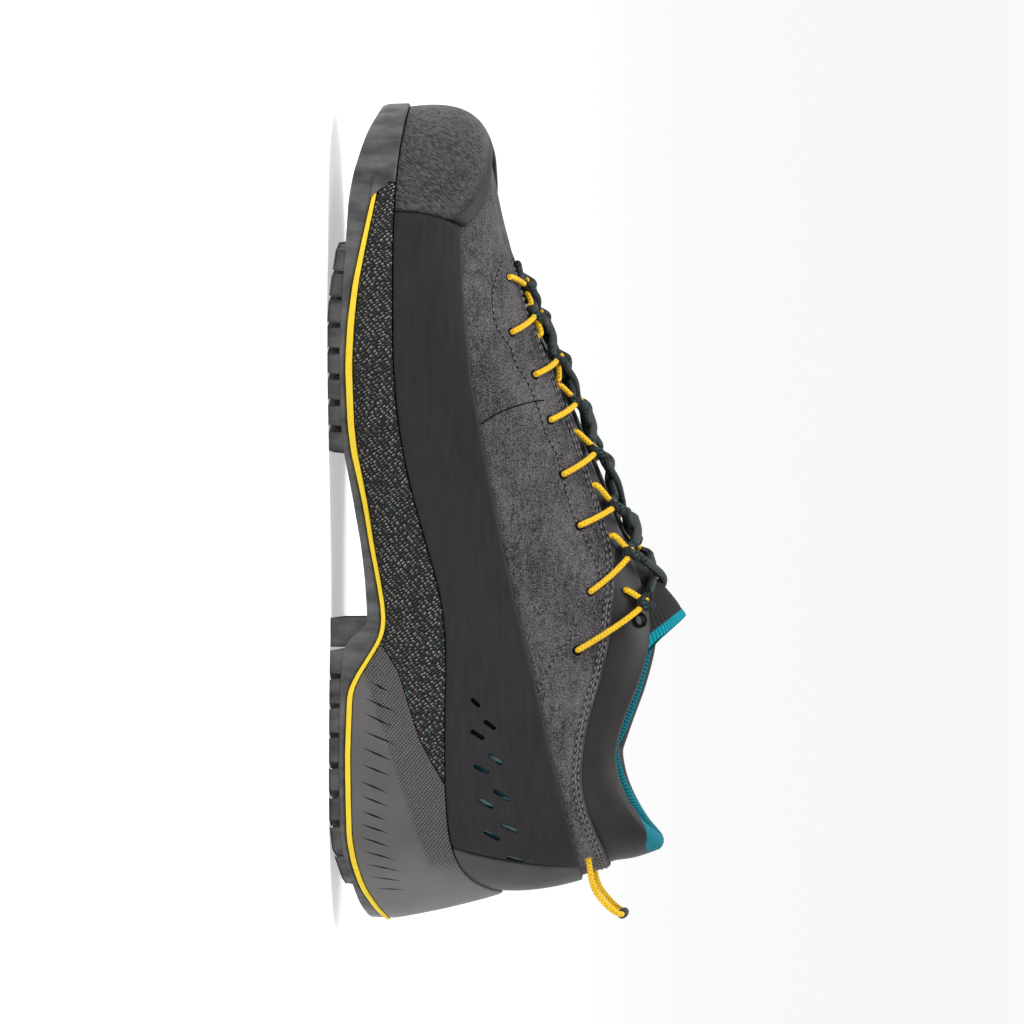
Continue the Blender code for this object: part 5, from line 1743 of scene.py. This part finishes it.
# Where each lace loop leaves the suede (hole), where the lace pulls it (bight) and where it goes back into
# the smooth strip (leg), toe first. down is measured along the wall from the edge of the opening.
LoopRow = namedtuple("LoopRow", "hole_s hole_down bight_s bight_down leg_s leg_down")
MEDIAL_LOOPS = [
    LoopRow(229.0, 26.2, 225.4, 8.5, 219.0, 10.0),
    LoopRow(209.5, 30.9, 215.2, 12.1, 208.5, 12.5),
    LoopRow(194.4, 25.1, 199.2, 5.8, 193.0, 7.0),
    LoopRow(178.4, 24.1, 183.9, 4.8, 190.5, 8.3),
    LoopRow(159.1, 25.5, 166.7, 4.8, 174.1, 10.2),
    LoopRow(141.0, 24.8, 147.1, 6.4, 154.6, 12.4),
    LoopRow(117.6, 24.2, 130.7, 6.4, 136.8, 12.0),
    LoopRow(96.9, 24.3, 113.2, 4.0, 118.0, 10.0),
]
LATERAL_LOOPS = [
    LoopRow(228.5, 18.0, 228.0, 4.6, 221.5, 6.5),
    LoopRow(216.4, 16.5, 216.5, 4.0, 210.0, 6.0),
    LoopRow(201.9, 17.1, 200.7, 4.0, 194.5, 6.0),
    LoopRow(182.9, 19.8, 184.5, 5.7, 193.0, 6.6),
    LoopRow(162.7, 20.0, 165.4, 5.7, 174.4, 7.4),
    LoopRow(140.7, 22.7, 144.9, 4.8, 153.2, 7.6),
    LoopRow(119.0, 23.1, 131.9, 4.4, 138.5, 9.0),
    LoopRow(94.1, 22.5, 112.0, 4.0, 117.5, 9.4),
]
LOOP_SIDES = {1: MEDIAL_LOOPS, -1: LATERAL_LOOPS}


def place_on_strip(side, s, down):
    """The girth and the place on it where the wall is at s, down millimetres below the opening's edge."""
    low, high = 0.0, float(ROWS)
    for _ in range(22):
        row = (low + high) / 2
        rho = on_side(side, row)
        at = wall(rho, v_down(rho, down))[0]
        low, high = (row, high) if at < s else (low, row)
    rho = on_side(side, (low + high) / 2)
    return rho, float(v_down(rho, down))


def above(side, s, down, lift):
    return shifted(*place_on_strip(side, s, down), lift)


def slice_at(s, name):
    return np.interp(s, column(SLICES, "s")[::-1], column(SLICES, name)[::-1])


def tongue_height(s, w):
    """Height of the tongue's face above the plan point (s, w)."""
    share = np.clip((w - slice_at(s, "middle")) / slice_at(s, "half_width"), -1, 1)
    return slice_at(s + slice_at(s, "sweep") * share**2, "z") - slice_at(s, "sag") * share**2


# Steps of the lace from a cord's bight, in s, down the wall and off it.
LACE_TURN = [(2.6, -3.6, 2.4), (1.6, 0.2, 2.3), (0.2, 2.0, 3.3), (-1.4, 0.8, 4.6), (-2.6, -2.6, 4.6)]


def lace_turn(row, side):
    """The lace goes in under the cord's bight, turns inside the loop and comes back out over it."""
    return [above(side, row.bight_s + s, row.bight_down + down, lift) for s, down, lift in LACE_TURN]


def lace_edge(row, towards, side, lift):
    s = row.bight_s + (towards.bight_s - row.bight_s) * 0.22
    return above(side, s, 0.4, lift)


def strand(side):
    """Half of the lace: from the middle of the first bar up to the last loop, crossing at each row."""
    rows = LOOP_SIDES[side]
    points = [shifted(float(ROWS), v_down(float(ROWS), 5.0), GAP + SUEDE + 2.1), *lace_turn(rows[0], side)]
    for number in range(1, len(rows)):
        here, there = LOOP_SIDES[side][number - 1], LOOP_SIDES[-side][number]
        first, last = lace_edge(here, there, side, 4.4), lace_edge(there, here, -side, 2.8)
        middle = (first + last) / 2
        crossing = 1.4 if (side > 0) == (number % 2 > 0) else -0.8
        over = 3.4 if number < len(rows) - 1 else 1.4
        middle[2] = max(middle[2] - 0.4, tongue_height(middle[0], middle[1]) + over) + crossing
        points += [first, middle, last, *lace_turn(there, -side)]
        side = -side
    return smooth_path(points, 640)


LACE_PITCH = 1.5


def yarn(along_cord, round_cord, pitch, turns):
    """A wave that winds round a cord this many times, and along it once in every pitch."""
    return (along_cord * (1 / pitch) + round_cord * turns).wave(1.0)


lace_cloth = Look("lace_weave", Roughness=0.6, Specular_IOR_Level=0.3)
lace_u, lace_v = lace_cloth.cloth()
lace_left = yarn(lace_u, lace_v, LACE_PITCH, -5.0)
lace_braid = yarn(lace_u, lace_v, LACE_PITCH, 5.0).most(lace_left)
lace_flecks = yarn(lace_u, lace_v, 3 * LACE_PITCH, 2.0) + lace_left * 0.35
lace_place = lace_cloth.place()
lace_fibre = lace_cloth.noise(lace_place, 0.3, 3.0)
lace_tone = (lace_braid * 0.4 + lace_fibre * 0.5).clamp()
lace_dark = lace_cloth.mix(lace_tone, linear(9, 10, 10), linear(42, 46, 45))
lace_cloth.finish(
    colour=lace_cloth.mix(lace_flecks.ramp(0.95, 1.15), lace_dark, linear(10, 92, 100)),
    normal=lace_cloth.bump(lace_braid * 0.20 + lace_fibre * 0.05),
)
bm = bmesh.new()
for side in (1, -1):
    add_cord(bm, strand(side), LACE_WIDE, LACE_HIGH, sides=14)
lace = closed_piece(bm, "woven_lace", lace_cloth)
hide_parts("lace")

# Lace loops
# Loops of yellow cord that come out of the suede, hold the lace and go back into the strip beside it. A dark
# ring is pressed into the suede round each hole, and a larger one stands at the top of the throat.

ON_SUEDE = GAP + SUEDE + GAP + LOOP_RADIUS
ON_STRIP = GAP + LOOP_RADIUS
CORD = 1.05
CORD_PITCH = 1.3


def loop_path(row, side):
    """From inside the hole in the suede up to the bight, round the lace and down into the smooth strip."""
    strip = float(band("strip", place_on_strip(side, row.leg_s, 0.0)[0]))
    foot = ON_SUEDE if row.leg_down > strip - 2.0 else ON_STRIP
    run_s, run_down = row.bight_s - row.hole_s, row.bight_down - row.hole_down
    points = [above(side, row.hole_s, row.hole_down, -0.2)]
    for share, lift in ((0.05, ON_SUEDE - 0.35), (0.35, ON_SUEDE), (0.7, ON_SUEDE + 0.3)):
        points.append(above(side, row.hole_s + run_s * share, row.hole_down + run_down * share, lift))
    points.append(above(side, row.bight_s, row.bight_down, 3.5))
    turn_s, turn_down = (row.bight_s * 2 + row.leg_s) / 3, (row.bight_down * 2 + row.leg_down) / 3
    points.append(above(side, turn_s, turn_down, 2.8))
    points.append(above(side, row.leg_s * 0.96 + turn_s * 0.04, row.leg_down, foot))
    points.append(above(side, row.leg_s + (row.leg_s - turn_s) * 0.12, row.leg_down + 0.6, -0.4))
    return smooth_path(points, 60)


cord_yarn = Look("yellow_yarn", Roughness=0.6, Specular_IOR_Level=0.3)
cord_u, cord_v = cord_yarn.cloth()
cord_braid = yarn(cord_u, cord_v, CORD_PITCH, 3.0).most(yarn(cord_u, cord_v, CORD_PITCH, -3.0))
cord_place = cord_yarn.place()
cord_tone = (cord_braid * 0.35 + 0.4 + cord_yarn.noise(cord_place, 4.0) * 0.3).clamp()
cord_yarn.finish(
    colour=cord_yarn.mix(cord_tone, linear(222, 142, 14), linear(252, 212, 40)),
    normal=cord_yarn.bump(cord_braid * 0.16 + cord_yarn.noise(cord_place, 0.25) * 0.04),
)


TOP_RING = (107.5, 4.6)
RING_SPANS = 14
RING_SIDES = 6


def add_ring(bm, rho, v, lift, radius, thick):
    """A small torus lying on the wall's face, or lifted off it."""
    centre = shifted(rho, v, lift)
    turn = Vector(wall_normal(rho, v)).to_track_quat("Z", "Y").to_matrix()
    rings = []
    for i in range(RING_SPANS):
        angle = 2 * math.pi * i / RING_SPANS
        ring = []
        for k in range(RING_SIDES):
            lean = 2 * math.pi * k / RING_SIDES
            out = radius + thick * math.cos(lean)
            point = Vector((out * math.cos(angle), out * math.sin(angle), thick * 0.8 * math.sin(lean)))
            ring.append(bm.verts.new(metres(centre + np.array(turn @ point))))
        rings.append(ring)
    for first, second in zip(rings, rings[1:] + rings[:1]):
        for k in range(RING_SIDES):
            j = (k + 1) % RING_SIDES
            bm.faces.new((first[k], second[k], second[j], first[j]))


holes = bmesh.new()
for side, name in ((1, "medial"), (-1, "lateral")):
    for number, row in enumerate(LOOP_SIDES[side], start=1):
        bm = bmesh.new()
        add_cord(bm, loop_path(row, side), CORD, CORD, sides=10)
        cord_loop = closed_piece(bm, f"cord_loop_{name}_{number}", cord_yarn)
        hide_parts(f"loop_{name}_{number}")
        add_ring(holes, *place_on_strip(side, row.hole_s, row.hole_down), GAP + SUEDE, 1.45, 0.35)
for side in (1, -1):
    add_ring(holes, *place_on_strip(side, *TOP_RING), 0.9, 2.3, 0.55)
rings = closed_piece(holes, "hole_rings", groove_shade_and_ring_look)

# Heel pull loop
# Two yellow cords come out of the suede at the back of the collar, each through a ring of thread, and carry a
# black woven sleeve that bows a little to the rear.

PULL_ROW = 1.35
PULL_Z = 90.5
PULL_PATH = [(13.2, 18.2, 92.6), (8.4, 19.4, 95.4), (4.6, 18.8, 99.0), (2.9, 16.2, 101.6), (2.6, 13.2, 102.6)]
SLEEVE_END = 12.6
SLEEVE_BEND = 0.25
SLEEVE = 1.7

pull_s, _, pull_z = PULL_PATH[-1]
for side, name in ((1, "medial"), (-1, "lateral")):
    rho = on_side(side, PULL_ROW)
    v = float(np.interp(PULL_Z, np.maximum.accumulate(wall(rho, RING_V)[:, 2]), RING_V))
    root = [shifted(rho, v, lift) for lift in (-0.3, GAP + SUEDE + 0.7)]
    inside = (pull_s, side * (SLEEVE_END - 3.0), pull_z)
    path = smooth_path([*root, *((s, side * w, z) for s, w, z in PULL_PATH), inside], 70)
    bm = bmesh.new()
    add_cord(bm, path, CORD, CORD, sides=10)
    pull = closed_piece(bm, f"heel_cord_{name}", cord_yarn)
    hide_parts(f"pull_cord_{name}")
    holes = bmesh.new()
    add_ring(holes, rho, v, GAP + SUEDE, 1.5, 0.35)
    ring = closed_piece(holes, f"heel_ring_{name}", thread)
bm = bmesh.new()
sleeve_w = np.linspace(-SLEEVE_END, SLEEVE_END, 40)
sleeve_s = pull_s + SLEEVE_BEND * (sleeve_w / SLEEVE_END) ** 2 - SLEEVE_BEND
add_cord(bm, np.stack([sleeve_s, sleeve_w, np.full(40, pull_z)], axis=1), SLEEVE, SLEEVE, sides=16)
sleeve = closed_piece(bm, "heel_sleeve", lace_cloth)
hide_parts("pull_sleeve")
